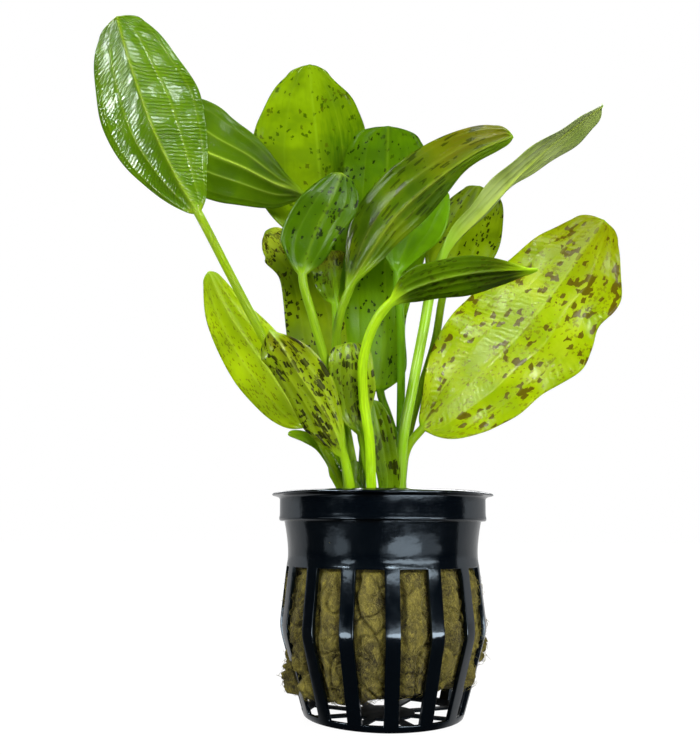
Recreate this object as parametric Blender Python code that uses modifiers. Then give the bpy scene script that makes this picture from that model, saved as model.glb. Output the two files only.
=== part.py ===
"""Potted echinodorus: a water plant with broad spotted leaves in a small black net pot of mineral wool.

Metres, +Z up, the front of the plant faces -Y. The origin is the middle of the pot's flat underside.
The plant and the wool are modelled at rest with 0.3 mm between pieces that touch.
"""
import math

import bmesh
import bpy
import numpy as np
from mathutils import Vector

MM = 0.001
GAP = 0.3 * MM

# The pot, in metres
RIM_R = 27.5 * MM          # outer edge of the thin flange
RIM_Z = 52.6 * MM          # top of the flange
FLANGE_T = 0.6 * MM
COLLAR_R = 25.6 * MM       # plain band under the flange
COLLAR_Z = 45.6 * MM
BODY_R = 24.7 * MM
SLOT_TOP_R = 23.9 * MM
SLOT_TOP_Z = 34.8 * MM     # square top of every slot
KINK_R = 25.0 * MM         # the ribs swell to this radius, then slant in
KINK_Z = 21.0 * MM
FOOT_R = 19.1 * MM
FLOOR_T = 1.2 * MM
WALL_T = 1.0 * MM
FOOT_RING_W = 1.6 * MM
RIBS = 15
RIB_W = 3.3 * MM
RIB_TURN = math.radians(-90 + 3)   # the first rib stands a little right of the front
SPOKES = 8                 # the floor is a hub held by fewer and narrower bars
SPOKE_W = 2.5 * MM
SPOKE_TURN = math.radians(22)
HUB_R = 8.0 * MM
TURN_STEPS = 60
ARC_STEPS = 4

# The wool plug and the root stock
PLUG_LOW_Z = 4.5 * MM
PLUG_TOP_Z = 42.0 * MM
PLUG_CLEAR = 0.7 * MM
PLUG_BULGE = 0.9 * MM        # how far the wool swells into the slots
PLUG_SINK = 0.5 * MM
PLUG_FOOT_RISE = 1.8 * MM
PLUG_FOOT_TUCK = 1.6 * MM      # the lowest row is drawn in, so that the foot is rounded
PLUG_WAVE = 1.6 * MM
PLUG_ROWS = 9
SLOT_COLUMNS = 5               # columns of the plug per slot, two of them in the open middle
# Tufts of wool that hang out of a slot: direction in degrees, height, reach and half height
TUFTS = ((189, 10 * MM, 2.8 * MM, 5 * MM), (213, 7 * MM, 1.4 * MM, 4 * MM),
               (357, 16.5 * MM, 2.0 * MM, 3 * MM))
CROWN_X = -3.0 * MM
CROWN_R = 8.6 * MM

# Leaf build; these three are in millimetres, as in the table of leaves below
ROOT_Z = 44.3              # top of the root stock, where the stalks start
STALK_R = 1.1
BLADE_HALF_T = 0.25
STALK_RINGS = 7
BLADE_ANGLES = (14, 30, 48, 66, 84, 102, 120, 138, 154, 168)

# Each leaf in millimetres: the line of the stalk, the line of the midrib, half widths of the blade to
# the left and right of the midrib at five places from base to tip, the way the upper face looks at the
# base and at the tip, and how far the two halves fold up there, in degrees.
LEAVES = {
    "top_left": dict(
        stalk=((-6.5, -1, ROOT_Z), (-9, -2.5, 53), (-15.5, -7.5, 65), (-31, -13, 92.5), (-38, -16, 105.5),
               (-45.5, -18, 119.5)),
        blade=((-51, -20, 128.5), (-56.5, -22, 139.5), (-61, -24, 151.5), (-63.5, -26, 159.5),
               (-65.5, -27, 166.5)),
        left=(4.5, 10, 13.7, 11.2, 6.5), right=(3.8, 9, 13.4, 11.8, 7),
        up=((0.25, 1, 0.3), (0.25, 1, 0.3)), fold=(10, 10)),
    "back_left": dict(
        stalk=((-6.5, 6, ROOT_Z), (-9.5, 8, 53.5), (-11.5, 9, 72.5), (-13, 10, 97), (-16, 11, 120.5),
               (-21, 12, 136.5)),
        blade=((-30, 13, 141), (-39.5, 14, 146.5), (-50, 15, 151.5), (-58, 15, 156.5), (-65, 15, 161.5)),
        left=(1.5, 6, 10.7, 13, 9.5), right=(3.5, 8.6, 12.2, 12.5, 9.5),
        up=((0.1, 0.9, 0.4), (0.1, 0.9, 0.4)), fold=(8, 8)),
    "back_top": dict(
        stalk=((-3.5, 6, ROOT_Z), (-5, 9, 54), (-4.5, 12, 70), (-7.5, 17, 96), (-14, 21, 120.5)),
        blade=((-16, 23, 132.5), (-17.5, 26, 148), (-19, 29, 164.5), (-20.5, 31, 177.5), (-21.5, 32, 190)),
        left=(4.5, 17, 20.6, 16.2, 8), right=(5.5, 11.5, 15.1, 13.6, 6.6),
        up=((0, -0.9, 0.3), (0, -0.9, 0.3)), fold=(8, 8)),
    "small_centre": dict(
        stalk=((-8.5, -4, ROOT_Z), (-8.5, -7, 53), (-11, -7.5, 70), (-14, -10.5, 83), (-17.5, -13, 95),
               (-20, -14, 105)),
        blade=((-18.5, -15, 111), (-16, -16, 117.5), (-13, -17, 123.5), (-10.5, -17, 130.5)),
        left=(3, 7.5, 7.5, 6, 3), right=(2.5, 5, 6, 7, 4),
        up=((0.1, -1, 0.2), (0.3, -1, 0.2)), fold=(12, 12)),
    "back_centre": dict(
        stalk=((0.5, 2, ROOT_Z), (3.6, 3.3, 53.5), (4, 6, 65), (2, 9, 73.5), (0, 11, 80.5)),
        blade=((1, 13, 92.5), (1.5, 15, 110), (2, 17, 128.5), (2.5, 19, 146.5), (3, 20, 162.5)),
        left=(10.5, 14, 14.5, 13.5, 11), right=(6.5, 6, 11.5, 14, 10),
        up=((0, -1, 0.2), (0, -1, 0.2)), fold=(6, 6)),
    "front_tall": dict(
        stalk=((-3.5, -2, ROOT_Z), (-6, -4.5, 53), (-9, -4.5, 68), (-11.5, -5, 83), (-11.5, -7, 93),
               (-9, -9, 101.5)),
        blade=((-4.5, -11, 109.5), (3.5, -13, 121), (13.5, -16, 129.5), (23.5, -18, 136), (32, -19, 139.5)),
        left=(1, 3.7, 5.8, 2.8, 2), right=(2.5, 8.4, 9.4, 7.5, 4.2),
        up=((0.3, 0.9, 0.3), (-0.1, 0.75, 0.65)), fold=(14, 14)),
    "mid_right": dict(
        stalk=((1.2, 5.6, ROOT_Z), (4.4, 8.4, 54), (5.2, 10.5, 67), (5.5, 8.5, 82), (5.5, 7, 96.5),
               (4.5, 5, 111.5)),
        blade=((6.5, 4, 118), (9.5, 3, 124), (12.5, 2, 129.5), (16.5, 1, 135)),
        left=(2.5, 7, 8, 7, 4), right=(2, 4.7, 7.6, 6.8, 4),
        up=((0.1, -1, 0.3), (0.1, -1, 0.3)), fold=(10, 10)),
    "far_right": dict(
        stalk=((2, -1.5, ROOT_Z), (4.2, -1.6, 53.5), (5.2, -1.5, 66), (7.8, 0, 79), (11, 1, 95),
               (14.2, 2, 110)),
        blade=((18.5, 2, 119), (27.2, 1, 127.6), (37.2, 0, 138), (45, -2, 145), (51.8, -4, 150),
               (59, -6, 155.3)),
        left=(1.4, 4.9, 2.6, 6.8, 5.4), right=(1.4, 3.8, 7.5, 7.8, 5.4),
        up=((-0.61, 0.47, 0.63), (-0.68, 0.15, 0.71)), fold=(25.5, -18)),
    "front_right": dict(
        stalk=((-2, -8, ROOT_Z), (-3, -11.5, 53), (-3.5, -13.5, 64.5), (-5, -14, 75), (-5, -16, 83.5),
               (-3, -18, 90.5), (0, -20, 95)),
        blade=((4, -22, 98), (10.5, -25, 100), (18, -28, 101), (26.5, -31, 101), (33.5, -33, 100.5)),
        left=(1.5, 4.5, 6, 4.5, 1.5), right=(1, 4.5, 4.5, 3, 0.5),
        up=((-0.2, 0.75, 0.6), (0.0, 0.7, 0.7)), fold=(10, 10)),
    "back_right": dict(
        stalk=((4, 4, ROOT_Z), (5.1, 5.7, 53.5), (6.7, 7.5, 65.5), (10.8, 11.5, 80.5), (15.5, 15, 95.5),
               (18, 17, 108.5)),
        blade=((20.5, 18, 117.5), (23.5, 19, 126.5), (27, 20, 135), (30, 20, 143.5)),
        left=(3, 7.5, 9.5, 8, 4.5), right=(3, 8.5, 11.5, 10, 7),
        up=((0, -1, 0.2), (0, -1, 0.2)), fold=(6, 6)),
    "low_right": dict(
        stalk=((4, 1, ROOT_Z), (5, 1, 53.5), (5.2, 1.2, 58.5), (6.7, 1, 64.5), (10.4, 1, 69)),
        blade=((16.5, 1, 75), (24.5, 2, 82.5), (32.5, 3, 90.5), (40.5, 4, 99.5), (50, 5, 111.5),
               (61.5, 6, 127.5)),
        left=(5.5, 14.4, 16, 13.2, 7.5), right=(9.5, 14, 17.2, 15.6, 7.2),
        up=((0.1, -1, 0.25), (0.1, -1, 0.25)), fold=(5, 5)),
    "low_left": dict(
        stalk=((-9, 0.5, ROOT_Z), (-10, 2.5, 53.5), (-12.5, 0.5, 59), (-15.5, -3, 64.5), (-19, -4, 69)),
        blade=((-23, -5, 74.5), (-30, -6, 84.5), (-35.5, -7, 92), (-40, -8, 99), (-44, -9, 107.5)),
        left=(4, 6.2, 7.4, 5, 2.6), right=(5, 8.2, 8.7, 6.2, 3),
        up=((0.0, 0.9, 0.3), (0.0, 0.9, 0.3)), fold=(8, 8)),
    "front_left": dict(
        stalk=((-7.5, -9.5, ROOT_Z), (-8, -11.5, 53), (-9.5, -12, 60.5)),
        blade=((-12, -15, 67), (-16.5, -18, 74), (-20.8, -21, 80), (-24.3, -23, 85.5), (-27, -22, 89)),
        left=(1, 3, 6, 5.5, 1.5), right=(3, 6.5, 6, 5.5, 6),
        up=((0.1, 0.9, 0.4), (0.1, 0.9, 0.4)), fold=(8, 8)),
    "front_centre": dict(
        stalk=((-1, -4.5, ROOT_Z), (-2.6, -5.5, 53), (-3.7, -9.3, 57.5), (-5.2, -10.5, 65)),
        blade=((-7, -10, 71), (-8, -11, 77.5), (-8, -12, 83.5), (-8.5, -12, 88.5)),
        left=(1, 3.5, 4.5, 5.5, 4.5), right=(2, 4, 6, 5.5, 4.5),
        up=((0, -1, 0.2), (0, -1, 0.2)), fold=(6, 6)),
    "olive_left": dict(
        stalk=((-9.5, 4, ROOT_Z), (-10.5, 5, 53.5), (-11.5, 4.5, 61), (-12.5, 5, 69.5)),
        blade=((-14, 6, 81), (-16.5, 7, 93.5), (-19.5, 8, 105.5), (-23, 8, 115), (-27, 7, 120.5),
               (-31.5, 5, 123.5)),
        left=(4.2, 7.4, 7.9, 6.2, 6.8), right=(2.5, 6, 8, 7.5, 4),
        up=((0, -1, 0.2), (0.1, -1, 0.3)), fold=(4, 4)),
    "ragged_centre": dict(
        stalk=((-5, 2, ROOT_Z), (-7.5, 4, 53.5), (-10, 0.5, 71), (-11.5, -1, 89), (-12, -2, 101)),
        blade=((-12.5, -3, 104.5), (-13, -4, 108), (-13.5, -4, 111.5), (-14, -4, 115)),
        left=(2, 4, 5, 5, 5), right=(0.5, 1.5, 2.5, 3.5, 4),
        up=((0, -1, 0.2), (0, -1, 0.2)), fold=(4, 4)),
    "low_centre": dict(
        stalk=((-1, -1.5, ROOT_Z), (0.4, -3, 50.5)),
        blade=((1.2, -3.4, 54.5), (0.6, -4, 60.5), (-0.6, -4.2, 67), (-2.6, -4.2, 75.5)),
        left=(1.8, 2.6, 3, 2.6, 1.4), right=(2.4, 3.2, 3.4, 3.4, 2.2),
        up=((0, -1, 0.2), (0, -1, 0.2)), fold=(8, 8)),
    "short_strap": dict(
        stalk=((-11, -2, ROOT_Z), (-10.4, -0.8, 53.5), (-12.2, -2, 57)),
        blade=((-13.8, -4, 61), (-16, -5.5, 64.2), (-19.3, -7, 66.3), (-23.3, -8, 66.5)),
        left=(0.5, 1, 1.5, 2, 1), right=(1, 1, 1, 1, 1),
        up=((0.3, -1, 0.2), (0.3, -1, 0.3)), fold=(10, 10)),
    "cut_stalk": dict(
        stalk=((-4, -5.5, ROOT_Z), (-6.5, -9, 53)),
        blade=((-7, -9, 56.5), (-7, -9, 58), (-7, -8.5, 60)),
        left=(1, 1, 1, 1, 1), right=(1, 0.5, 1, 1, 1),
        up=((0, -1, 0.2), (0, -1, 0.2)), fold=(0, 0), cut=True),
}

# Leaf colours as sRGB values
COLOURS = {
    "glossy_green": (96, 146, 20),
    "deep_green": (82, 122, 18),
    "light_green": (132, 168, 24),
    "yellow_green": (158, 178, 28),
    "olive_green": (122, 138, 30),
    "grey_green": (150, 172, 96),
}
LEAF_COLOUR = {
    "top_left": "glossy_green", "back_left": "deep_green", "back_top": "light_green",
    "small_centre": "glossy_green", "back_centre": "deep_green", "front_tall": "olive_green",
    "mid_right": "light_green", "far_right": "grey_green", "front_right": "deep_green",
    "back_right": "yellow_green", "low_right": "yellow_green", "low_left": "yellow_green",
    "front_left": "olive_green", "front_centre": "olive_green", "olive_left": "olive_green",
    "ragged_centre": "olive_green", "low_centre": "olive_green", "short_strap": "deep_green",
    "cut_stalk": "deep_green",
}


def clear_scene():
    """Remove whatever the file opened with."""
    for obj in list(bpy.data.objects):
        bpy.data.objects.remove(obj, do_unlink=True)


def new_collection(name):
    """A collection linked to the scene."""
    collection = bpy.data.collections.new(name)
    bpy.context.scene.collection.children.link(collection)
    return collection


def linear(srgb):
    """sRGB numbers from 0 to 255 as linear colour with full alpha."""
    out = []
    for value in srgb:
        c = value / 255
        out.append(c / 12.92 if c <= 0.04045 else ((c + 0.055) / 1.055) ** 2.4)
    return (*out, 1.0)


def material(name, srgb, roughness):
    """One Principled material."""
    mat = bpy.data.materials.new(name)
    mat.use_nodes = True
    shader = mat.node_tree.nodes["Principled BSDF"]
    shader.inputs["Base Color"].default_value = linear(srgb)
    shader.inputs["Roughness"].default_value = roughness
    return mat


def add_object(name, points, faces, collection, mat=None):
    """A mesh object from points in metres, with its faces turned outwards."""
    mesh = bpy.data.meshes.new(name)
    mesh.from_pydata([tuple(p) for p in points], [], faces)
    bm = bmesh.new()
    bm.from_mesh(mesh)
    bmesh.ops.recalc_face_normals(bm, faces=bm.faces)
    bm.to_mesh(mesh)
    bm.free()
    obj = bpy.data.objects.new(name, mesh)
    collection.objects.link(obj)
    if mat:
        mesh.materials.append(mat)
    return obj


def turned(name, profile, collection, steps, mat=None):
    """A solid turned about Z from (radius, height) points that begin and end on the axis."""
    mesh = bpy.data.meshes.new(name)
    edges = [(i, i + 1) for i in range(len(profile) - 1)]
    mesh.from_pydata([(r, 0, z) for r, z in profile], edges, [])
    obj = bpy.data.objects.new(name, mesh)
    collection.objects.link(obj)
    screw = obj.modifiers.new("turn", "SCREW")
    screw.axis = "Z"
    screw.angle = math.tau
    screw.steps = steps
    screw.render_steps = steps
    screw.use_merge_vertices = True
    screw.merge_threshold = 0.00001
    screw.use_normal_calculate = True
    if mat:
        mesh.materials.append(mat)
    return obj


def wedge(points_xy, low, high, turn):
    """Points and faces of an upright prism over a plan shape, turned about Z."""
    c, s = math.cos(turn), math.sin(turn)
    ring = [(x * c - y * s, x * s + y * c) for x, y in points_xy]
    n = len(ring)
    points = [(x, y, low) for x, y in ring] + [(x, y, high) for x, y in ring]
    faces = [tuple(reversed(range(n))), tuple(range(n, 2 * n))]
    faces += [(i, (i + 1) % n, n + (i + 1) % n, n + i) for i in range(n)]
    return points, faces


def openings(name, bars, turn, reach, low, high, collection):
    """Prisms that each fill the space between two neighbouring bars. Bars are their number and width,
    reach is the inner and the outer radius."""
    count, width = bars
    half = math.pi / count
    plan = []
    for radius, order in ((reach[0], 1), (reach[1], -1)):
        side = half - math.asin(width / 2 / radius)
        for k in range(ARC_STEPS + 1):
            angle = order * side * (1 - 2 * k / ARC_STEPS)
            plan.append((radius * math.cos(angle), radius * math.sin(angle)))
    points, faces = [], []
    for k in range(count):
        p, f = wedge(plan, low, high, turn + (k + 0.5) * math.tau / count)
        faces += [tuple(i + len(points) for i in face) for face in f]
        points += p
    cutter = add_object(name, points, faces, collection)
    cutter.hide_render = True
    cutter.display_type = "WIRE"
    return cutter


def subtract(obj, cutter):
    """Take the cutter away from the object with an exact Boolean."""
    cut = obj.modifiers.new(cutter.name, "BOOLEAN")
    cut.operation = "DIFFERENCE"
    cut.solver = "EXACT"
    cut.object = cutter


def apply_modifiers(obj):
    """Turn an object and its modifiers into one plain mesh."""
    graph = bpy.context.evaluated_depsgraph_get()
    mesh = bpy.data.meshes.new_from_object(obj.evaluated_get(graph))
    obj.modifiers.clear()
    obj.data = mesh


def net_pot(collection, cutters):
    """The slotted basket: collar and flange above, ribs below, a floor of spokes."""
    mat = material("net_pot_plastic", (16, 18, 23), 0.25)
    t = WALL_T
    profile = [
        (0, 0), (FOOT_R, 0), (FOOT_R + 0.4 * MM, 0.9 * MM), (KINK_R, KINK_Z), (SLOT_TOP_R, SLOT_TOP_Z),
        (BODY_R, COLLAR_Z), (COLLAR_R, COLLAR_Z), (COLLAR_R, RIM_Z - 1.3 * FLANGE_T),
        (RIM_R, RIM_Z - 1.8 * FLANGE_T), (RIM_R, RIM_Z - 0.8 * FLANGE_T), (COLLAR_R + 0.3 * MM, RIM_Z),
        (COLLAR_R - t, RIM_Z), (COLLAR_R - t, COLLAR_Z + 1.4 * MM), (BODY_R - t, COLLAR_Z),
        (SLOT_TOP_R - t, SLOT_TOP_Z), (KINK_R - t, KINK_Z), (FOOT_R - t + 0.2 * MM, FLOOR_T), (0, FLOOR_T),
    ]
    pot = turned("net_pot", profile, collection, TURN_STEPS, mat)
    slots = openings("slot_cutters", (RIBS, RIB_W), RIB_TURN, (HUB_R, 40 * MM),
                     FLOOR_T + 0.4 * MM, SLOT_TOP_Z, cutters)
    floor = openings("floor_cutters", (SPOKES, SPOKE_W), SPOKE_TURN, (HUB_R, FOOT_R - FOOT_RING_W),
                     -2 * MM, FLOOR_T + 2 * MM, cutters)
    subtract(pot, slots)
    subtract(pot, floor)
    apply_modifiers(pot)
    return pot


def pot_inner(z):
    """Inner radius of the pot at a height."""
    heights = (FLOOR_T, KINK_Z, SLOT_TOP_Z, COLLAR_Z, COLLAR_Z + 1.4 * MM)
    radii = (FOOT_R + 0.2 * MM, KINK_R, SLOT_TOP_R, BODY_R, COLLAR_R)
    return float(np.interp(z, heights, radii)) - WALL_T


def tuft(angle, z):
    """How far a loose tuft reaches out at this direction and height."""
    out = 0.0
    for direction, height, reach, half in TUFTS:
        off = math.remainder(angle - math.radians(direction), math.tau)
        if abs(off) < math.pi / RIBS:
            out = max(out, reach * max(0.0, 1 - ((z - height) / half) ** 2))
    return out


def rockwool_plug(collection):
    """Lumpy wool inside the basket, swelling a little into the middle of the slots."""
    mat = material("rockwool", (122, 108, 62), 0.95)
    columns, rows = SLOT_COLUMNS * RIBS, PLUG_ROWS
    points, faces = [], []
    for j in range(rows):
        share = j / (rows - 1)
        for i in range(columns):
            angle = RIB_TURN + i * math.tau / columns
            lift = PLUG_WAVE * math.sin(1.3 * angle + 0.6) * math.sin(2.1 * angle) * (1 - share)
            foot = PLUG_LOW_Z + PLUG_FOOT_RISE
            z = foot + share * (PLUG_TOP_Z - foot) + lift
            lump = 0.5 + 0.5 * math.sin(3.1 * angle + 9 * share) * math.cos(5.3 * angle - 7 * share)
            in_slot = i % SLOT_COLUMNS in (2, 3) and z < SLOT_TOP_Z - 3 * MM
            swell = PLUG_BULGE * (0.25 + lump) + tuft(angle, z) if in_slot else 0.0
            sink = PLUG_SINK * (1 - lump)
            r = pot_inner(z) - PLUG_CLEAR - sink + swell
            if j == 0:
                r -= PLUG_FOOT_TUCK
            points.append((r * math.cos(angle), r * math.sin(angle), z))
    for j in range(rows - 1):
        for i in range(columns):
            a, b = j * columns + i, j * columns + (i + 1) % columns
            faces.append((a, b, b + columns, a + columns))
    low, high = len(points), len(points) + 1
    points += [(0, 0, foot - 0.3 * MM), (0, 0, PLUG_TOP_Z)]
    top = (rows - 1) * columns
    for i in range(columns):
        k = (i + 1) % columns
        faces += [(low, k, i), (high, top + i, top + k)]
    return add_object("rockwool_plug", points, faces, collection, mat)


def crown(collection):
    """The short root stock the leaf stalks grow from, sitting on the wool."""
    mat = material("root_stock", (112, 118, 52), 0.6)
    low, high = PLUG_TOP_Z + GAP, ROOT_Z * MM - GAP
    profile = [(0, low), (CROWN_R - 1.2 * MM, low), (CROWN_R, low + 0.5 * MM),
               (CROWN_R, high - 0.6 * MM), (CROWN_R - 0.8 * MM, high), (0, high)]
    obj = turned("crown", profile, collection, 24, mat)
    apply_modifiers(obj)
    for vertex in obj.data.vertices:
        vertex.co.x += CROWN_X
    return obj


def smooth_line(points, samples):
    """A Catmull-Rom curve through the points, spaced by the square root of their distances."""
    p = np.array(points, float)
    p = np.vstack([2 * p[0] - p[1], p, 2 * p[-1] - p[-2]])
    t = np.r_[0, np.cumsum(np.linalg.norm(np.diff(p, axis=0), axis=1) ** 0.5)]
    line = []
    for i in range(1, len(p) - 2):
        for k in range(samples + (i == len(p) - 3)):
            x = t[i] + (t[i + 1] - t[i]) * k / samples
            a = [((t[j + 1] - x) * p[j] + (x - t[j]) * p[j + 1]) / (t[j + 1] - t[j]) for j in (i - 1, i, i + 1)]
            b = [((t[i + 1] - x) * a[0] + (x - t[i - 1]) * a[1]) / (t[i + 1] - t[i - 1]),
                 ((t[i + 2] - x) * a[1] + (x - t[i]) * a[2]) / (t[i + 2] - t[i])]
            line.append(((t[i + 1] - x) * b[0] + (x - t[i]) * b[1]) / (t[i + 1] - t[i]))
    return np.array(line)


def width_at(five, angle):
    """Half width at a station angle from 0 (base) to 180 (tip), smooth through the five given ones."""
    knots = np.array([-five[0], 0, *five, 0, -five[-1]], float)
    k = min(int(angle // 30), 5)
    x = angle / 30 - k
    p0, p1, p2, p3 = knots[k:k + 4]
    value = p1 + 0.5 * x * (p2 - p0 + x * (2 * p0 - 5 * p1 + 4 * p2 - p3 + x * (3 * (p1 - p2) + p3 - p0)))
    return max(value, 0.0)


def leaf(name, row, collection):
    """One leaf as a loft: a round stalk that flattens into a thin blade with a raised midrib underneath."""
    samples = 12
    line = smooth_line([*row["stalk"], *row["blade"]], samples)
    start = (len(row["stalk"]) - 1) * samples
    step = np.linalg.norm(np.diff(line, axis=0), axis=1)
    run = np.r_[0, np.cumsum(step)]
    tangents = np.gradient(line, run, axis=0)
    base, end = run[start], run[-1]
    points = []
    stations = [(base * k / STALK_RINGS, -1.0) for k in range(STALK_RINGS)]
    stations += [(base + (end - base) * (1 - math.cos(math.radians(a))) / 2, a) for a in BLADE_ANGLES]
    for distance, angle in stations:
        centre = Vector([float(np.interp(distance, run, line[:, k])) for k in range(3)])
        along = Vector([float(np.interp(distance, run, tangents[:, k])) for k in range(3)]).normalized()
        if distance == 0:
            along = Vector((0, 0, 1))
        t = max(0.0, (distance - base) / (end - base))
        facing = Vector(row["up"][0]).lerp(Vector(row["up"][1]), t)
        side = facing.cross(along).normalized()
        normal = along.cross(side)
        r = STALK_R * max(0.28, 1 - 6 * t) if angle >= 0 else STALK_R
        left = max(width_at(row["left"], angle), r) if angle >= 0 else r
        right = max(width_at(row["right"], angle), r) if angle >= 0 else r
        fold = row["fold"][0] + (row["fold"][1] - row["fold"][0]) * t
        bend = math.radians(fold) if angle >= 0 else 0.0
        to_left = side * math.cos(bend) + normal * math.sin(bend)
        to_right = -side * math.cos(bend) + normal * math.sin(bend)
        half, diagonal = max(BLADE_HALF_T, 0.707 * r), 0.707 * r
        points += [
            centre + to_left * left, centre + to_left * max(left * 0.5, diagonal) + normal * half,
            centre + normal * max(r, BLADE_HALF_T),
            centre + to_right * max(right * 0.5, diagonal) + normal * half,
            centre + to_right * right, centre + to_right * max(right * 0.5, diagonal) - normal * half,
            centre - normal * max(r * 1.15, BLADE_HALF_T),
            centre + to_left * max(left * 0.5, diagonal) - normal * half,
        ]
    rings = len(stations)
    faces = [tuple(range(8))]
    for j in range(rings - 1):
        for i in range(8):
            a, b = j * 8 + i, j * 8 + (i + 1) % 8
            faces.append((a, b, b + 8, a + 8))
    if row.get("cut"):
        faces.append(tuple(range(8 * rings - 1, 8 * rings - 9, -1)))
    else:
        points.append(Vector(line[-1].tolist()))
        last = (rings - 1) * 8
        faces += [(last + i, last + (i + 1) % 8, 8 * rings) for i in range(8)]
    tone = LEAF_COLOUR[name]
    mat = material("leaf_" + name + "_" + tone, COLOURS[tone], 0.35)
    label = name if row.get("cut") else "leaf_" + name
    return add_object(label, [p * MM for p in points], faces, collection, mat)


def shade_round_pieces(collection):
    """Shade the pieces smooth, with the pot's corners kept sharp."""
    for obj in collection.objects:
        obj.data.shade_smooth()
        obj.data.set_sharp_from_angle(angle=math.radians(35))


def build():
    """Build every piece of the potted plant."""
    clear_scene()
    plant = new_collection("Potted echinodorus")
    cutters = new_collection("cutters")
    net_pot(plant, cutters)
    rockwool_plug(plant)
    crown(plant)
    for name, row in LEAVES.items():
        leaf(name, row, plant)
    shade_round_pieces(plant)


build()
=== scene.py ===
# %% [markdown]
# # A potted echinodorus
# The object is a young aquarium sword plant. Its broad stalked leaves grow from one short root stock,
# which is packed in mineral wool inside a small slotted net pot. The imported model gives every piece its
# real size and place, and this lesson gives each piece the shape and finish that the eye expects.

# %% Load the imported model
import math

import bmesh
import bpy
import numpy as np
from mathutils import Matrix, Vector, noise


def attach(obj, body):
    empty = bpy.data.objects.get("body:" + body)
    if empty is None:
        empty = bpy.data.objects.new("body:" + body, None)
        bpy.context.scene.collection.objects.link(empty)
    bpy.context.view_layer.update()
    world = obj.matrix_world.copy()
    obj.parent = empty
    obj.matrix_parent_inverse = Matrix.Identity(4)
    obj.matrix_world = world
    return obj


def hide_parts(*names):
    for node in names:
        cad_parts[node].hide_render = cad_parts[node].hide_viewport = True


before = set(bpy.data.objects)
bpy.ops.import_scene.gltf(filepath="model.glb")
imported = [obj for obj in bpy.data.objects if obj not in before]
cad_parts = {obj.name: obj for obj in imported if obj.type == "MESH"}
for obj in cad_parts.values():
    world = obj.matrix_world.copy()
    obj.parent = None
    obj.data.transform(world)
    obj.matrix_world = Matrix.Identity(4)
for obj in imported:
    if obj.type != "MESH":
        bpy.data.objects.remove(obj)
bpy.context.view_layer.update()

MM = 0.001
print("nodes in the frame:", len(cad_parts))


# %% [markdown]
# A shader or a geometry tree is written down as nodes that feed each other. One short function adds a node
# with its settings and inputs, so that each line below reads like one node of the graph. Colours are
# written as hex values, the way a paint program shows them, and are turned into the linear numbers that
# Blender mixes.

# %% Add and feed nodes
def linear(hex_colour):
    """A hex colour such as "7a9e14" as linear red, green, blue and alpha."""
    channels = []
    for start in (0, 2, 4):
        value = int(hex_colour[start:start + 2], 16) / 255
        channels.append(value / 12.92 if value <= 0.04045 else ((value + 0.055) / 1.055) ** 2.4)
    return (*channels, 1.0)


def feed(target, inputs):
    """Set a node's inputs by name or number. A text is a hex colour, a socket or a node is linked, and a
    node stands for its first output in use."""
    for key, value in inputs.items():
        if isinstance(value, bpy.types.Node):
            value = next(socket for socket in value.outputs if socket.enabled)
        if isinstance(value, bpy.types.NodeSocket):
            target.id_data.links.new(value, target.inputs[key])
        else:
            target.inputs[key].default_value = linear(value) if isinstance(value, str) else value


def node(tree, kind, inputs=None, **settings):
    """Add a node with its inputs and its own settings."""
    made = tree.nodes.new(kind)
    for key, value in settings.items():
        setattr(made, key, value)
    feed(made, inputs or {})
    return made


def new_finish(name):
    """A new material. Gives it, its node tree, its main shader and the place on the piece."""
    mat = bpy.data.materials.new(name)
    mat.use_nodes = True
    tree = mat.node_tree
    place = node(tree, "ShaderNodeTexCoord").outputs["Object"]
    return mat, tree, tree.nodes["Principled BSDF"], place


# %% [markdown]
# Every piece is one closed mesh at the origin, with its place in its points. Round pieces are drawn as
# rings of points, so one function gives the faces between rings, and one turns points and faces into an
# object. The last one lets a finished piece ride on the model in place of a node of the frame.

# %% Make and finish pieces
def round_axis(radius, turn):
    """The place at a distance from an upright axis, in a direction."""
    return radius * math.cos(turn), radius * math.sin(turn)


def ring_bands(rings, around):
    """Faces of the bands between rings of points."""
    faces = []
    for j in range(rings - 1):
        for i in range(around):
            a, b = j * around + i, j * around + (i + 1) % around
            faces.append((a, b, b + around, a + around))
    return faces


def ring_faces(rings, around):
    """Faces of a closed skin: the bands between rings of points and a lid at both ends."""
    lids = [tuple(reversed(range(around))), tuple(range((rings - 1) * around, rings * around))]
    return ring_bands(rings, around) + lids


def mesh_piece(name, points, faces, material):
    """A smooth-shaded mesh object at the origin, its faces turned outwards."""
    mesh = bpy.data.meshes.new(name)
    mesh.from_pydata([tuple(p) for p in points], [], faces)
    shell = bmesh.new()
    shell.from_mesh(mesh)
    bmesh.ops.recalc_face_normals(shell, faces=shell.faces)
    shell.to_mesh(mesh)
    shell.free()
    mesh.shade_smooth()
    mesh.materials.append(material)
    obj = bpy.data.objects.new(name, mesh)
    bpy.context.scene.collection.objects.link(obj)
    return obj


def finish_piece(obj, stands_for):
    """Let a piece ride on the model in place of a node of the frame."""
    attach(obj, "root")
    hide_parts(stands_for)
    print(obj.name, "has", len(obj.data.polygons), "faces")


# %% [markdown]
# The photograph was taken from very close, with the lens a little below the rim of the pot and tilted up.
# A short distance makes the near leaves loom and shows the pot nearly level, so the camera stands at the
# real distance of about 21 centimetres, with a lens that gives the photograph's angle of view.

# %% Camera
CAMERA_PLACE = (-8.2 * MM, -207.8 * MM, 43.0 * MM)
CAMERA_PITCH = math.radians(10.65)
CAMERA_ROLL = math.radians(0.21)
SENSOR_MM = 36.0
LENS_MM = 39.1
NEAREST_SEEN = 5 * MM

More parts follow.
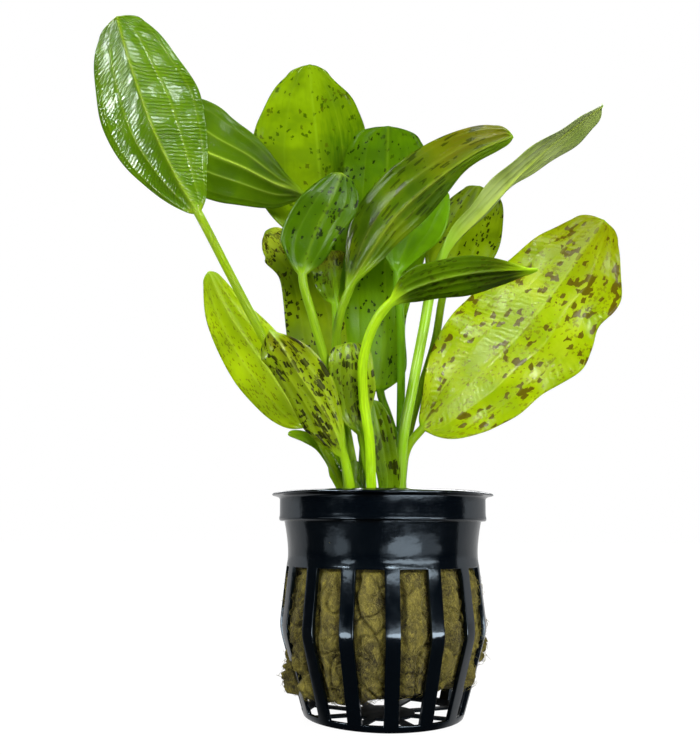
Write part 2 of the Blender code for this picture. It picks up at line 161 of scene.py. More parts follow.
camera_data = bpy.data.cameras.new("camera")
camera_data.sensor_width = SENSOR_MM
camera_data.lens = LENS_MM
camera_data.clip_start = NEAREST_SEEN
camera = bpy.data.objects.new("camera", camera_data)
camera.matrix_world = (
    Matrix.Translation(CAMERA_PLACE)
    @ Matrix.Rotation(math.pi / 2 + CAMERA_PITCH, 4, "X")
    @ Matrix.Rotation(CAMERA_ROLL, 4, "Z")
)
bpy.context.scene.collection.objects.link(camera)
bpy.context.scene.camera = camera
print("camera", round(-CAMERA_PLACE[1] / MM), "mm in front of the pot")


# %% [markdown]
# The stage is a light table, the glowing white sheet on which products are photographed so that hardly a
# shadow shows. A black pot mirrors whatever is bright, and a glowing floor in front of it would turn it
# grey, so in front the glow is shown to the camera alone. The table behind and beside the plant glows for
# everything, which leaves the pot dark in the middle with grey bands at its sides.

# %% Light table
TABLE_HALF = 3.0
TABLE_GLOW = 0.62
# The bright side lies in this direction, as far round as this cosine
BRIGHT_SIDE = (0.059, 0.998, 0.0)
BRIGHT_FROM = 0.167


def light_table_material():
    """Opal acrylic that looks lit from below, and in the mirror of the pot only behind and beside it."""
    mat, tree, shader, place = new_finish("opal_light_table")
    away = node(tree, "ShaderNodeVectorMath", {0: place}, operation="LENGTH")
    glow = node(tree, "ShaderNodeMapRange", {
        "Value": away, "From Min": 0.03, "From Max": 0.15, "To Min": 0.96}, interpolation_type="SMOOTHSTEP")
    behind = node(tree, "ShaderNodeVectorMath", {0: place, 1: BRIGHT_SIDE}, operation="DOT_PRODUCT")
    past = node(tree, "ShaderNodeMath", {0: away, 1: -BRIGHT_FROM, 2: behind}, operation="MULTIPLY_ADD")
    beside = node(tree, "ShaderNodeMapRange", {
        "Value": past, "From Min": -19 * MM, "From Max": -13 * MM, "To Max": TABLE_GLOW},
        interpolation_type="SMOOTHSTEP")
    seen = node(tree, "ShaderNodeLightPath").outputs["Is Camera Ray"]
    shown = node(tree, "ShaderNodeMix", {0: seen, 2: beside, 3: glow}, data_type="FLOAT")
    feed(shader, {"Base Color": "262625", "Roughness": 0.9, "Specular IOR Level": 0.1,
                  "Emission Color": "ffffff", "Emission Strength": shown})
    return mat


corners = [(x * TABLE_HALF, y * TABLE_HALF, 0.0) for x, y in ((-1, -1), (1, -1), (1, 1), (-1, 1))]
table = mesh_piece("stage_light_table", corners, [(0, 1, 2, 3)], light_table_material())
print("light table", 2 * TABLE_HALF, "m wide")


# %% [markdown]
# Two very bright soft boxes stand in front, a small one on the left and a broad one on the right. They
# light the leaves and give them white glints, and low cards by the pot show as soft patches on its band.
# Narrow strips work as a photographer's gloss cards: only the mirror of the wet leaves and of the ribs
# shows them, on the bend of the ribs, along the slot tops and on the two glossiest leaves.

# %% Soft boxes
PLANT_MIDDLE = 90 * MM


def soft_box(name, azimuth, elevation, distance, size, brightness, aim_z=PLANT_MIDDLE, rounded=True,
             mirror_only=False):
    """A soft light round the plant that looks at its axis. Azimuth 0 is in front and positive to the right.
    Brightness is that of its white cloth."""
    turn, rise = math.radians(azimuth), math.radians(elevation)
    aim = Vector((0.0, 0.0, aim_z))
    place = aim + distance * Vector((
        math.sin(turn) * math.cos(rise), -math.cos(turn) * math.cos(rise), math.sin(rise)))
    data = bpy.data.lights.new(name, "AREA")
    data.shape = "ELLIPSE" if rounded else "RECTANGLE"
    data.size, data.size_y = size
    area = size[0] * size[1] * (math.pi / 4 if rounded else 1)
    data.energy = math.pi * area * brightness
    box = bpy.data.objects.new(name, data)
    box.location = place
    box.rotation_euler = (aim - place).to_track_quat("-Z", "Y").to_euler()
    box.visible_camera = False
    if mirror_only:
        box.visible_diffuse = False
        box.visible_transmission = False
    bpy.context.scene.collection.objects.link(box)


for large in (("box_left", -51, 18, 0.62, (0.17, 0.13), 56.0), ("box_right", 31, 20, 0.60, (0.62, 0.126), 27.0),
              ("box_behind", 172, 32, 0.75, (0.90, 0.50), 3.5)):
    soft_box(*large, rounded=False)
for card in (("card_left", -53, 0, 0.16, (0.10, 0.032), 0.8, 0.017),
             ("card_left_core", -48, 0, 0.158, (0.045, 0.028), 0.9, 0.018),
             ("card_right", 31, 0, 0.16, (0.23, 0.034), 1.3, 0.017),
             ("card_right_core", 22, 0, 0.158, (0.11, 0.030), 3.8, 0.018)):
    soft_box(*card)
for strip in (("strip_low_left", -36, 0, 0.07, (0.020, 0.012), 13.0, 0.0125),
              ("strip_low_right", 30, 0, 0.07, (0.086, 0.012), 17.0, 0.0125),
              ("strip_top_left", -36, 0, 0.07, (0.016, 0.006), 5.0, 0.0425),
              ("strip_top_right", 27, 0, 0.07, (0.076, 0.006), 9.0, 0.0425)):
    soft_box(*strip, mirror_only=True)
for leaf_strip in (("strip_leaf_left", -64, 0, 0.193, (0.046, 0.038), 95.0, 0.162),
                   ("strip_leaf_right", -31, 0, 0.180, (0.034, 0.030), 66.0, 0.178),
                   ("strip_leaf_low", 27, 0, 0.134, (0.030, 0.016), 110.0, 0.133)):
    soft_box(*leaf_strip, rounded=False, mirror_only=True)
print(sum(light.type == "AREA" for light in bpy.data.lights), "soft lights")


# %% [markdown]
# The room gives the rest. It is bright on the same side as the light table, dimmer straight behind and
# nearly dark in front, and the camera sees it plain white, as a paper backdrop would be.

# %% Room light
SIDE_GLOW = 1.1
BACK_GLOW = 0.5
DIM_FRONT = 0.04
SOFT_BORDER = 0.03


def room_light():
    """Room light that is bright behind and beside the plant, dim in front, and white as a backdrop."""
    world = bpy.data.worlds.new("lit_backdrop")
    world.use_nodes = True
    tree = world.node_tree
    tree.nodes.clear()
    direction = node(tree, "ShaderNodeTexCoord").outputs["Generated"]
    behind = node(tree, "ShaderNodeVectorMath", {0: direction, 1: BRIGHT_SIDE}, operation="DOT_PRODUCT")
    fading = node(tree, "ShaderNodeMapRange", {
        "Value": behind, "From Min": 0.1, "From Max": 0.8, "To Min": SIDE_GLOW, "To Max": BACK_GLOW})
    level = node(tree, "ShaderNodeMapRange", {
        "Value": behind, "From Min": BRIGHT_FROM - SOFT_BORDER, "From Max": BRIGHT_FROM + SOFT_BORDER,
        "To Min": DIM_FRONT, "To Max": fading}, interpolation_type="SMOOTHSTEP")
    lit = node(tree, "ShaderNodeBackground", {"Color": "fbfdff", "Strength": level})
    backdrop = node(tree, "ShaderNodeBackground", {"Color": "ffffff", "Strength": 1.0})
    seen = node(tree, "ShaderNodeLightPath").outputs["Is Camera Ray"]
    mix = node(tree, "ShaderNodeMixShader", {0: seen, 1: lit, 2: backdrop})
    node(tree, "ShaderNodeOutputWorld", {"Surface": mix})
    bpy.context.scene.world = world


room_light()
bpy.context.scene.view_settings.view_transform = "Standard"
print("room light and backdrop are set")


# %% [markdown]
# Each repeated form is made with Geometry Nodes. A small function starts such a tree with its named
# inputs. Another one runs a tree on an object, and a third keeps the result as a plain mesh, because live
# instances and modifiers would be lost when the model is exported.

# %% Start and run a node tree
def geometry_tree(name, inputs):
    """A geometry node tree with a geometry input, a geometry output and named inputs, given by their kind."""
    tree = bpy.data.node_groups.new(name, "GeometryNodeTree")
    tree.interface.new_socket("Geometry", in_out="INPUT", socket_type="NodeSocketGeometry")
    tree.interface.new_socket("Geometry", in_out="OUTPUT", socket_type="NodeSocketGeometry")
    for label, kind in inputs.items():
        tree.interface.new_socket(label, in_out="INPUT", socket_type="NodeSocket" + kind)
    return tree, tree.nodes.new("NodeGroupInput").outputs


def end_tree(tree, geometry, material):
    """Make a tree's copies real, with smooth faces and their material, and lead them to its output."""
    smooth = node(tree, "GeometryNodeSetShadeSmooth", {0: geometry})
    painted = node(tree, "GeometryNodeSetMaterial", {0: smooth, "Material": material})
    node(tree, "NodeGroupOutput", {0: painted})
    return tree


def run_tree(obj, tree, values):
    """Give an object the tree with its values, in the order of the tree's inputs."""
    grow = obj.modifiers.new(tree.name, "NODES")
    grow.node_group = tree
    for socket in tree.interface.items_tree:
        if socket.in_out == "INPUT" and socket.name in values:
            grow[socket.identifier] = values[socket.name]
    keep_result(obj)


def keep_result(obj):
    """Turn an object and its modifiers into one plain mesh."""
    graph = bpy.context.evaluated_depsgraph_get()
    mesh = bpy.data.meshes.new_from_object(obj.evaluated_get(graph))
    obj.modifiers.clear()
    obj.data = mesh


# %% [markdown]
# The pot is one thin moulding in polypropylene: a flared flange, a plain collar, a waisted band, fifteen
# flat ribs that swell out and then slant in, a foot ring, and a floor of a hub with eight spokes. It could
# be turned and then cut with prisms, but cutting leaves ragged faces that catch the light. One share of
# the wall and one of the floor are drawn here as clean strips between two lines, Geometry Nodes sets them
# round the axis and joins the edges, and a bevel rounds each moulded edge as a real mould does.

# %% Lines of the pot
RIBS = 15
RIB_TURN = math.radians(-90 + 3)
RIB_HALF = 1.65 * MM
WALL = 1.0
SPOKES = 8
SPOKE_TURN = math.radians(22)
SPOKE_HALF = 1.1 * MM
# Each line is the radius and height of the outer or lower face, the radius and height of the inner or
# upper face, all in millimetres, and whether the stretch up to the next line is open between the ribs.
FLOOR_LINES = [
    (0.0, 0.06, 0.0, 0.75, False), (4.0, 0.06, 4.0, 0.75, False), (7.6, 0.06, 7.6, 0.7, True),
    (11.2, 0.06, 11.2, 0.65, True), (14.4, 0.06, 14.4, 0.65, True), (17.6, 0.06, 17.6, 0.65, False),
    (18.3, 0.06, 18.3, 0.65, False)]
FOOT_LINES = [
    (18.9, 0.0, 17.9, 0.0, False), (19.1, 0.2, 17.7, 0.2, False), (19.35, 0.8, 17.8, 0.8, False),
    (19.6, 1.5, 18.65, 1.6, True)]
# Heights and outer radii of the ribs: slanting out from the foot, bowed at the bend, slanting in to the band
RIB_HEIGHTS = (1.5, 3.5, 6, 9, 12, 14.5, 17, 18.4, 19.6, 20.6, 21.6, 22.8, 24.4, 26.6, 29, 31.5, 33.4, 34.8)
RIB_RADII = (19.6, 20.2, 20.95, 21.85, 22.75, 23.5, 24.24, 24.62, 24.87, 25.0, 25.02, 24.93, 24.78, 24.55,
             24.3, 24.04, 23.84, 23.68)
# Height and outer radius of the waisted band
BAND = ((34.8, 23.68), (35.3, 23.57), (36.0, 23.45), (36.8, 23.38), (37.8, 23.36), (39.0, 23.4), (40.4, 23.51),
        (42.0, 23.71), (43.5, 23.95), (44.7, 24.18), (45.5, 24.34))
# Collar with a bead along its lower edge, then the thin flange that sweeps outwards
COLLAR_LINES = [
    (25.4, 45.6, 23.7, 45.9, False), (25.62, 45.85, 24.0, 46.3, False), (25.67, 46.3, 24.4, 46.7, False),
    (25.56, 46.85, 24.5, 47.1, False), (25.53, 47.5, 24.53, 47.6, False), (25.55, 49.2, 24.55, 49.3, False),
    (25.57, 50.8, 24.58, 50.7, False), (25.7, 51.12, 24.6, 51.2, False), (26.1, 51.4, 24.62, 51.6, False),
    (26.8, 51.58, 24.65, 51.9, False), (27.45, 51.7, 24.7, 52.2, False), (27.55, 51.95, 24.8, 52.42, False),
    (27.3, 52.2, 25.0, 52.55, False), (26.3, 52.42, 25.3, 52.58, False)]


def rib_radius(z):
    """Outer radius of a rib at a height."""
    return float(np.interp(z, RIB_HEIGHTS, RIB_RADII))


rib_lines = [(rib_radius(z), z, rib_radius(z) - WALL, z, True) for z in RIB_HEIGHTS[1:-1]]
band_lines = [(r, z, r - WALL, z, False) for z, r in BAND]
WALL_LINES = FOOT_LINES + rib_lines + band_lines + COLLAR_LINES
print(len(WALL_LINES), "lines from the foot ring to the top of the flange")


# %% [markdown]
# One share is a rib with half of the gap on each side. Both skins are drawn between the lines, the sides of
# the rib close them where the gap is open, and where a gap starts or ends its sill is closed too.

# %% One share of the wall and of the floor
RIB_STEPS = 5


def share_turns(count, half_width, radius):
    """Directions of the columns of points in one share at a radius in millimetres."""
    gap_steps = max(4, 60 // count)
    half_share = math.pi / count
    edge = min(math.asin(min(1.0, half_width / max(radius * MM, 1e-6))), 0.95 * half_share)
    side = [edge + (half_share - edge) * j / gap_steps for j in range(1, gap_steps + 1)]
    rib = [edge * (2 * j / RIB_STEPS - 1) for j in range(RIB_STEPS + 1)]
    return [-turn for turn in reversed(side)] + rib + side


def rib_share(lines, count, half_width):
    """Points and faces of one rib or spoke out of so many, with half of the gap on each side."""
    gap_steps = max(4, 60 // count)
    columns = range(2 * gap_steps + RIB_STEPS)
    rib = range(gap_steps, gap_steps + RIB_STEPS)
    gap = [j for j in columns if j not in rib]
    ids, points, faces = {}, [], []

    def point(skin, i, j):
        """The number of a point of the outer skin, 0, or the inner one, 1."""
        if (skin, i, j) not in ids:
            r, z = lines[i][2 * skin:2 * skin + 2]
            x, y = round_axis(r, share_turns(count, half_width, r)[j])
            ids[skin, i, j] = len(points)
            points.append((x * MM, y * MM, z * MM))
        return ids[skin, i, j]

    def quad(*four):
        faces.append([point(*key) for key in four])

    for i in range(len(lines) - 1):
        for j in (rib if lines[i][4] else columns):
            quad((0, i, j), (0, i, j + 1), (0, i + 1, j + 1), (0, i + 1, j))
            quad((1, i, j), (1, i + 1, j), (1, i + 1, j + 1), (1, i, j + 1))
        if lines[i][4]:
            a, b = rib[0], rib[-1] + 1
            quad((0, i, a), (0, i + 1, a), (1, i + 1, a), (1, i, a))
            quad((0, i, b), (1, i, b), (1, i + 1, b), (0, i + 1, b))
    sills = [(i, gap) for i in range(1, len(lines) - 1) if lines[i][4] != lines[i - 1][4]]
    ends = [(i, columns) for i in (len(lines) - 1, 0) if i or lines[0][0]]
    for i, across in sills + ends:
        for j in across:
            quad((0, i, j), (0, i, j + 1), (1, i, j + 1), (1, i, j))
    return points, faces


wall_points, wall_faces = rib_share(WALL_LINES, RIBS, RIB_HALF)
floor_points, floor_faces = rib_share(FLOOR_LINES, SPOKES, SPOKE_HALF)
print("one share of the wall:", len(wall_faces), "faces, one of the floor:", len(floor_faces), "faces")


# %% [markdown]
# Black polypropylene comes out of a polished mould with a soft gloss. Its common name is PP, its index of
# refraction is 1.49 and its roughness about 0.08 to 0.16 while it is wet. Carbon black takes nearly all
# light, so what the eye sees are the reflections: faint flow ripples about 3 mm long and handling
# scratches break them up. The inside of the floor came from a blasted mould face and is matt, so it gets
# a rougher finish.

# %% Black polypropylene
PP_IOR = 1.49


def moulded_polypropylene(name, smoothest, dullest, level):
    """Black moulded plastic with flow ripples, fine scratches and a little dust."""
    mat, tree, shader, place = new_finish(name)
    ripple = node(tree, "ShaderNodeTexNoise", {
        "Vector": place, "Scale": 1 / (3.2 * MM), "Detail": 3.0, "Roughness": 0.55})
    stretch = node(tree, "ShaderNodeMapping", {"Vector": place, "Scale": (1.0, 1.0, 0.12)})
    scratch = node(tree, "ShaderNodeTexNoise", {"Vector": stretch, "Scale": 1 / (0.35 * MM), "Detail": 2.0})
    fine = node(tree, "ShaderNodeMapRange", {"Value": scratch, "From Min": 0.62, "From Max": 0.8})
    dust = node(tree, "ShaderNodeTexNoise", {
        "Vector": place, "Scale": 1 / (0.5 * MM), "Detail": 5.0, "Roughness": 0.8})
    specks = node(tree, "ShaderNodeMapRange", {
        "Value": dust, "From Min": 0.66, "From Max": 0.78, "To Max": 0.15})
    colour = node(tree, "ShaderNodeMix", {0: specks, 6: "010306", 7: "2c312f"}, data_type="RGBA")
    rough = node(tree, "ShaderNodeMapRange", {
        "Value": ripple, "From Min": 0.3, "From Max": 0.7, "To Min": smoothest, "To Max": dullest})
    rougher = node(tree, "ShaderNodeMath", {0: fine, 1: 0.1, 2: rough}, operation="MULTIPLY_ADD")
    swell = node(tree, "ShaderNodeBump", {"Strength": 0.5, "Distance": 0.1 * MM, "Height": ripple})
    marks = node(tree, "ShaderNodeBump", {
        "Strength": 0.25, "Distance": 0.02 * MM, "Height": scratch, "Normal": swell})
    feed(shader, {"IOR": PP_IOR, "Specular IOR Level": level, "Specular Tint": "d8eeff",
                  "Base Color": colour, "Roughness": rougher, "Normal": marks})
    return mat


pot_plastic = moulded_polypropylene("black_moulded_polypropylene", 0.08, 0.16, 0.45)
floor_plastic = moulded_polypropylene("black_matt_polypropylene", 0.5, 0.65, 0.12)
print("made", pot_plastic.name, "and", floor_plastic.name)


# %% [markdown]
# Geometry Nodes set the shares round the axis as turned copies on points that all lie at the middle, and
# the edges that meet are merged. Then the two parts are made one mesh, the edges are rounded, and the
# thin flange gets the slight wave and the foot the slight warp that such mouldings have.

# %% Set the shares round the axis
JOIN_WITHIN = 0.004 * MM
EDGE_ROUND = 0.16 * MM
FOOT_WARP = 0.35 * MM
LIP_FROM, LIP_REACH = 25.5 * MM, 2 * MM
WARP_HEIGHT, WARP_REACH = 18 * MM, 19 * MM
FLOOR_INSIDE_TOP, FLOOR_INSIDE_RADIUS = 2.4 * MM, 18.9 * MM


def ring_tree():
    """Copies of a share round the axis, joined along their edges."""
    tree, given = geometry_tree("ring_of_shares", {
        "Shares": "Int", "Turn": "Float", "Join": "Float", "Plastic": "Material"})
    spots = node(tree, "GeometryNodeMeshLine", {"Count": given["Shares"], "Offset": (0, 0, 0)})
    index = node(tree, "GeometryNodeInputIndex")
    step = node(tree, "ShaderNodeMath", {0: math.tau, 1: given["Shares"]}, operation="DIVIDE")
    angle = node(tree, "ShaderNodeMath", {0: index, 1: step, 2: given["Turn"]}, operation="MULTIPLY_ADD")
    facing = node(tree, "ShaderNodeCombineXYZ", {2: angle})
    copies = node(tree, "GeometryNodeInstanceOnPoints", {
        "Points": spots, "Instance": given["Geometry"], "Rotation": facing})
    real = node(tree, "GeometryNodeRealizeInstances", {0: copies})
    joined = node(tree, "GeometryNodeMergeByDistance", {0: real, "Distance": given["Join"]})
    return end_tree(tree, joined, given["Plastic"])


def moulded_edges(pot):
    """Round the edges of the pot and keep the flat faces looking flat."""
    bevel = pot.modifiers.new("moulded_edges", "BEVEL")
    bevel.width = EDGE_ROUND
    bevel.segments = 2
    bevel.limit_method = "ANGLE"
    bevel.angle_limit = math.radians(38)
    weigh = pot.modifiers.new("even_faces", "WEIGHTED_NORMAL")
    weigh.keep_sharp = False
    weigh.weight = 60
    keep_result(pot)


def net_pot():
    """The whole pot: wall and floor, rounded edges, the wave of the thin flange and the warp of the foot."""
    ring = ring_tree()
    pot = mesh_piece("pot_basket", wall_points, wall_faces, pot_plastic)
    run_tree(pot, ring, {"Shares": RIBS, "Turn": RIB_TURN, "Join": JOIN_WITHIN, "Plastic": pot_plastic})
    plate = mesh_piece("pot_floor", floor_points, floor_faces, pot_plastic)
    run_tree(plate, ring, {"Shares": SPOKES, "Turn": SPOKE_TURN, "Join": JOIN_WITHIN, "Plastic": pot_plastic})
    shell = bmesh.new()
    shell.from_mesh(pot.data)
    shell.from_mesh(plate.data)
    bpy.data.objects.remove(plate, do_unlink=True)
    bmesh.ops.dissolve_degenerate(shell, dist=JOIN_WITHIN / 2, edges=shell.edges)
    bmesh.ops.recalc_face_normals(shell, faces=shell.faces)
    shell.to_mesh(pot.data)
    shell.free()
    moulded_edges(pot)
    for vertex in pot.data.vertices:
        x, y, z = vertex.co
        turn = math.atan2(y, x)
        lip = max(0.0, math.hypot(x, y) - LIP_FROM) / LIP_REACH
        z += lip * (0.14 * math.sin(2 * turn + 0.9) + 0.09 * math.sin(5 * turn)) * MM
        vertex.co.z = z + max(0.0, 1 - z / WARP_HEIGHT) * max(0.0, -x) / WARP_REACH * FOOT_WARP
    pot.data.materials.append(floor_plastic)
    for face in pot.data.polygons:
        x, y, z = face.center
        if z < FLOOR_INSIDE_TOP and math.hypot(x, y) < FLOOR_INSIDE_RADIUS and face.normal.z > -0.5:
            face.material_index = 1
    finish_piece(pot, "net_pot")


net_pot()


# %% [markdown]
# Rockwool is spun basalt fibre. It is felted into a soft block, pressed into the basket, and it bulges
# into every slot, creased where it was folded in, with loose tufts that hang out low down. A smooth plug
# with a noise texture would look like clay. The plug here is a fine mesh whose radius follows the pot
# and is pushed in and out by creases, lumps and felt, and thousands of real fibres lie on it.

# %% Shape of the wool
WOOL_LOW = 4.4 * MM
WOOL_TOP = 42.0 * MM
BAND_LOW = 34.2 * MM
# Loose tufts: direction in degrees, height, reach and half height in millimetres, half width in degrees
TUFTS = ((189, 8.0, 3.4, 5.6, 11), (199, 9.5, 2.4, 6.5, 13), (213, 6.8, 1.8, 4.6, 10),
         (357, 15.2, 1.4, 3.0, 7), (333, 9.0, 0.9, 4.0, 9))
# Height of the block's lower edge round the pot: direction in degrees, height in millimetres
FOOT = ((-180, 4.4), (-165, 4.4), (-147, 4.7), (-137, 5.1), (-126, 4.9), (-112, 4.5), (-105, 6.3), (-89, 6.7),
        (-82, 7.5), (-65, 7.2), (-57, 7.0), (-51, 9.0), (-44, 9.2), (-20, 6.8), (0, 5.8), (90, 5.4), (180, 4.4))
# Height and inner radius of the basket from the slot tops to the flange, in millimetres
BASKET_HEIGHTS, BASKET_RADII = (34.8, 37.6, 45.5, 46.9, 52), (22.68, 22.36, 23.3, 24.4, 24.6)


def pot_inside(z):
    """Inner radius of the basket at a height."""
    if z > BASKET_HEIGHTS[0] * MM:
        return float(np.interp(z / MM, BASKET_HEIGHTS, BASKET_RADII)) * MM
    return (rib_radius(z / MM) - WALL) * MM


def wool_foot(turn):
    """Height of the block's lower edge in one direction: each slot shows its own."""
    degrees = math.degrees(math.remainder(turn, math.tau))
    return float(np.interp(degrees, *zip(*FOOT))) * MM


def felt(x, y, z, size):
    """Smooth noise from -1 to 1 with lumps of a size in millimetres."""
    return noise.noise(Vector((x, y, z)) / (size * MM))


def limited(value):
    """The value, kept between 0 and 1."""
    return min(1.0, max(0.0, value))


def wool_radius(turn, z):
    """How far the wool reaches at a direction and height."""
    inside = pot_inside(z)
    x, y = round_axis(inside, turn)
    rib_phase = math.remainder(turn - RIB_TURN, math.tau / RIBS) * RIBS / math.pi
    in_gap = limited((abs(rib_phase) - 0.34) / 0.4)
    below_band = limited((BAND_LOW - z) / (2.5 * MM))
    swell = in_gap * below_band * (1.05 + 1.1 * felt(x, y, z * 0.6, 7.0))
    slanted = abs(felt(x * 1.2 + 3, y * 1.2, z * 0.6 + x * 0.5 + 5, 6.0))
    crossing = abs(felt(x + 9, y, z * 0.9 - x * 0.4 + 1, 4.0))
    crease = -1.8 * max(0.0, 1 - slanted / 0.12) ** 1.5 - 1.0 * max(0.0, 1 - crossing / 0.1)
    lumps = 0.55 * felt(x, y, z, 2.6) + 0.22 * felt(x, y, z * 0.7, 1.2) + 0.14 * felt(x, y, z, 0.55)
    tuft = 0.0
    for direction, height, reach, half, spread in TUFTS:
        off = math.degrees(math.remainder(turn - math.radians(direction), math.tau)) / spread
        near = math.sqrt(max(0.0, 1 - off ** 2)) * math.sqrt(max(0.0, 1 - abs((z / MM - height) / half) ** 3))
        tuft = max(tuft, reach * near * (1 + 0.3 * felt(x, y, z, 2.2) + 0.12 * felt(x, y, z, 0.9)))
    clear = 0.55 + 0.35 * (1 - in_gap)
    return inside + (swell - clear + below_band * (crease + lumps) + tuft * in_gap) * MM


# %% [markdown]
# The block is one closed skin in three parts: rings over the hollowed underside, rows up the side, and
# rings over the dimpled top. The lower edge follows its own height in every direction.

# %% Skin of the wool
WOOL_AROUND, SIDE_ROWS, END_RINGS = 520, 118, 34
SIDE_START, SIDE_STOP = 1.2 * MM, 1.0 * MM


def wool_block(material):
    """The felted block as one closed skin."""
    points = []
    turns = [math.tau * i / WOOL_AROUND for i in range(WOOL_AROUND)]
    shares = [(j + 0.5) / END_RINGS for j in range(END_RINGS)]
    for share in shares:
        for turn in turns:
            foot = wool_foot(turn)
            x, y = round_axis(share * wool_radius(turn, foot) * 0.97, turn)
            hollow = 1.3 * share ** 6 + 0.7 * felt(x, y, 0, 4) + 0.3 * felt(x, y, 2, 1.1)
            z = foot + (0.4 - hollow * 0.5 + 0.9 * share ** 8) * MM
            points.append((x, y, max(z, WOOL_LOW)))
    for j in range(SIDE_ROWS):
        for turn in turns:
            low, high = wool_foot(turn) + SIDE_START, WOOL_TOP - SIDE_STOP
            z = low + (high - low) * j / (SIDE_ROWS - 1)
            points.append((*round_axis(wool_radius(turn, z), turn), z))
    for share in (1 - share for share in shares):
        for turn in turns:
            x, y = round_axis(share * (pot_inside(WOOL_TOP) - 1.0 * MM), turn)
            dip = 0.55 * abs(felt(x, y, 7, 5.0)) + 0.35 * abs(felt(x, y, 3, 1.6)) + 0.15 * felt(x, y, 5, 0.6)
            points.append((x, y, WOOL_TOP - (dip + 0.9 * share ** 8) * MM))
    faces = ring_faces(2 * END_RINGS + SIDE_ROWS, WOOL_AROUND)
    return mesh_piece("wool_block", points, faces, material)


# %% [markdown]
# Wet rockwool is a dull olive brown. Glass-like fibres scatter light in all directions, so it has almost
# no gloss: IOR 1.5, roughness 0.95. The colour varies over patches of about 6 mm, strands about 0.7 mm
# wide show light and dark, and painted shade darkens the low parts between the strands.

# %% Rockwool finish
def wet_rockwool(name, light, mid, dark):
    """Felted mineral fibre in three tones, with painted shade in the low parts between strands."""
    mat, tree, shader, place = new_finish(name)
    patches = node(tree, "ShaderNodeTexNoise", {
        "Vector": place, "Scale": 1 / (6.0 * MM), "Detail": 4.0, "Roughness": 0.6})
    combed = node(tree, "ShaderNodeMapping", {"Vector": place, "Scale": (1.0, 1.0, 0.6)})
    strands = node(tree, "ShaderNodeTexNoise", {
        "Vector": combed, "Scale": 1 / (0.7 * MM), "Detail": 5.0, "Roughness": 0.7, "Distortion": 1.6})
    body = node(tree, "ShaderNodeMapRange", {"Value": patches, "From Min": 0.38, "From Max": 0.62})
    bright = node(tree, "ShaderNodeMapRange", {
        "Value": strands, "From Min": 0.46, "From Max": 0.72, "To Max": 0.85})
    # Painted shade: where the strand relief is low, the colour is pulled towards near black.
    hollow = node(tree, "ShaderNodeMapRange", {
        "Value": strands, "From Min": 0.28, "From Max": 0.42, "To Min": 0.6, "To Max": 0.0})
    colour = node(tree, "ShaderNodeMix", {0: body, 6: dark, 7: mid}, data_type="RGBA")
    colour = node(tree, "ShaderNodeMix", {0: bright, 6: colour, 7: light}, data_type="RGBA")
    colour = node(tree, "ShaderNodeMix", {0: hollow, 6: colour, 7: "1e1a08"}, data_type="RGBA")
    bump = node(tree, "ShaderNodeBump", {"Strength": 0.9, "Distance": 0.35 * MM, "Height": strands})
    feed(shader, {"Roughness": 0.95, "Specular IOR Level": 0.25, "Base Color": colour, "Normal": bump})
    return mat


wool_finish = wet_rockwool("wet_rockwool", "82782c", "544d18", "262109")
fibre_finish = wet_rockwool("rockwool_fibre", "a69c4e", "766c2a", "3a340f")
wool = wool_block(wool_finish)
print("wool block:", len(wool.data.polygons), "faces")


# %% [markdown]
# The loose fibres lie along the felt, bent and crossed at random. Four bent threads with only a few faces
# are drawn, and Geometry Nodes scatters them over the block, turned flat on the surface, each with its own
# size. None grows behind the plain collar, where it would prick through the thin wall.

# %% Threads
THREAD_SIDES, THREAD_STEPS = 3, 6
THREAD_LONG, THREAD_THICK = 4.2 * MM, 0.055 * MM
# How far each thread bends sideways, in an S and upwards, in millimetres
THREAD_BENDS = ((0.9, 0.0, 0.35), (-0.5, 0.4, 0.25), (0.2, -0.5, 0.5), (1.4, 0.2, 0.3))


def bent_thread(name, bends):
    """A three-sided thread about 4 mm long that follows a bent line."""
    points = []
    for j in range(THREAD_STEPS + 1):
        t = j / THREAD_STEPS
        bow, twist = math.sin(math.pi * t), math.sin(2 * math.pi * t)
        y, z = (bends[0] * bow + bends[1] * twist) * MM, bends[2] * bow * MM
        for i in range(THREAD_SIDES):
            across, up = round_axis(THREAD_THICK * (0.5 + 0.5 * bow), math.tau * i / THREAD_SIDES)
            points.append(((t - 0.5) * THREAD_LONG, y + across, z + up))
    return mesh_piece(name, points, ring_faces(THREAD_STEPS + 1, THREAD_SIDES), fibre_finish)


threads = [bent_thread(f"thread_{k}", bends) for k, bends in enumerate(THREAD_BENDS)]
print(len(threads), "threads to scatter")


# %% [markdown]
# The tree picks points on the free surface of the block, sets a random thread on each, lays it flat, turns
# and tilts it at random, and lifts it by a hair.

# %% Loose fibres
FACING_UP = 0.7
TILT = 0.22


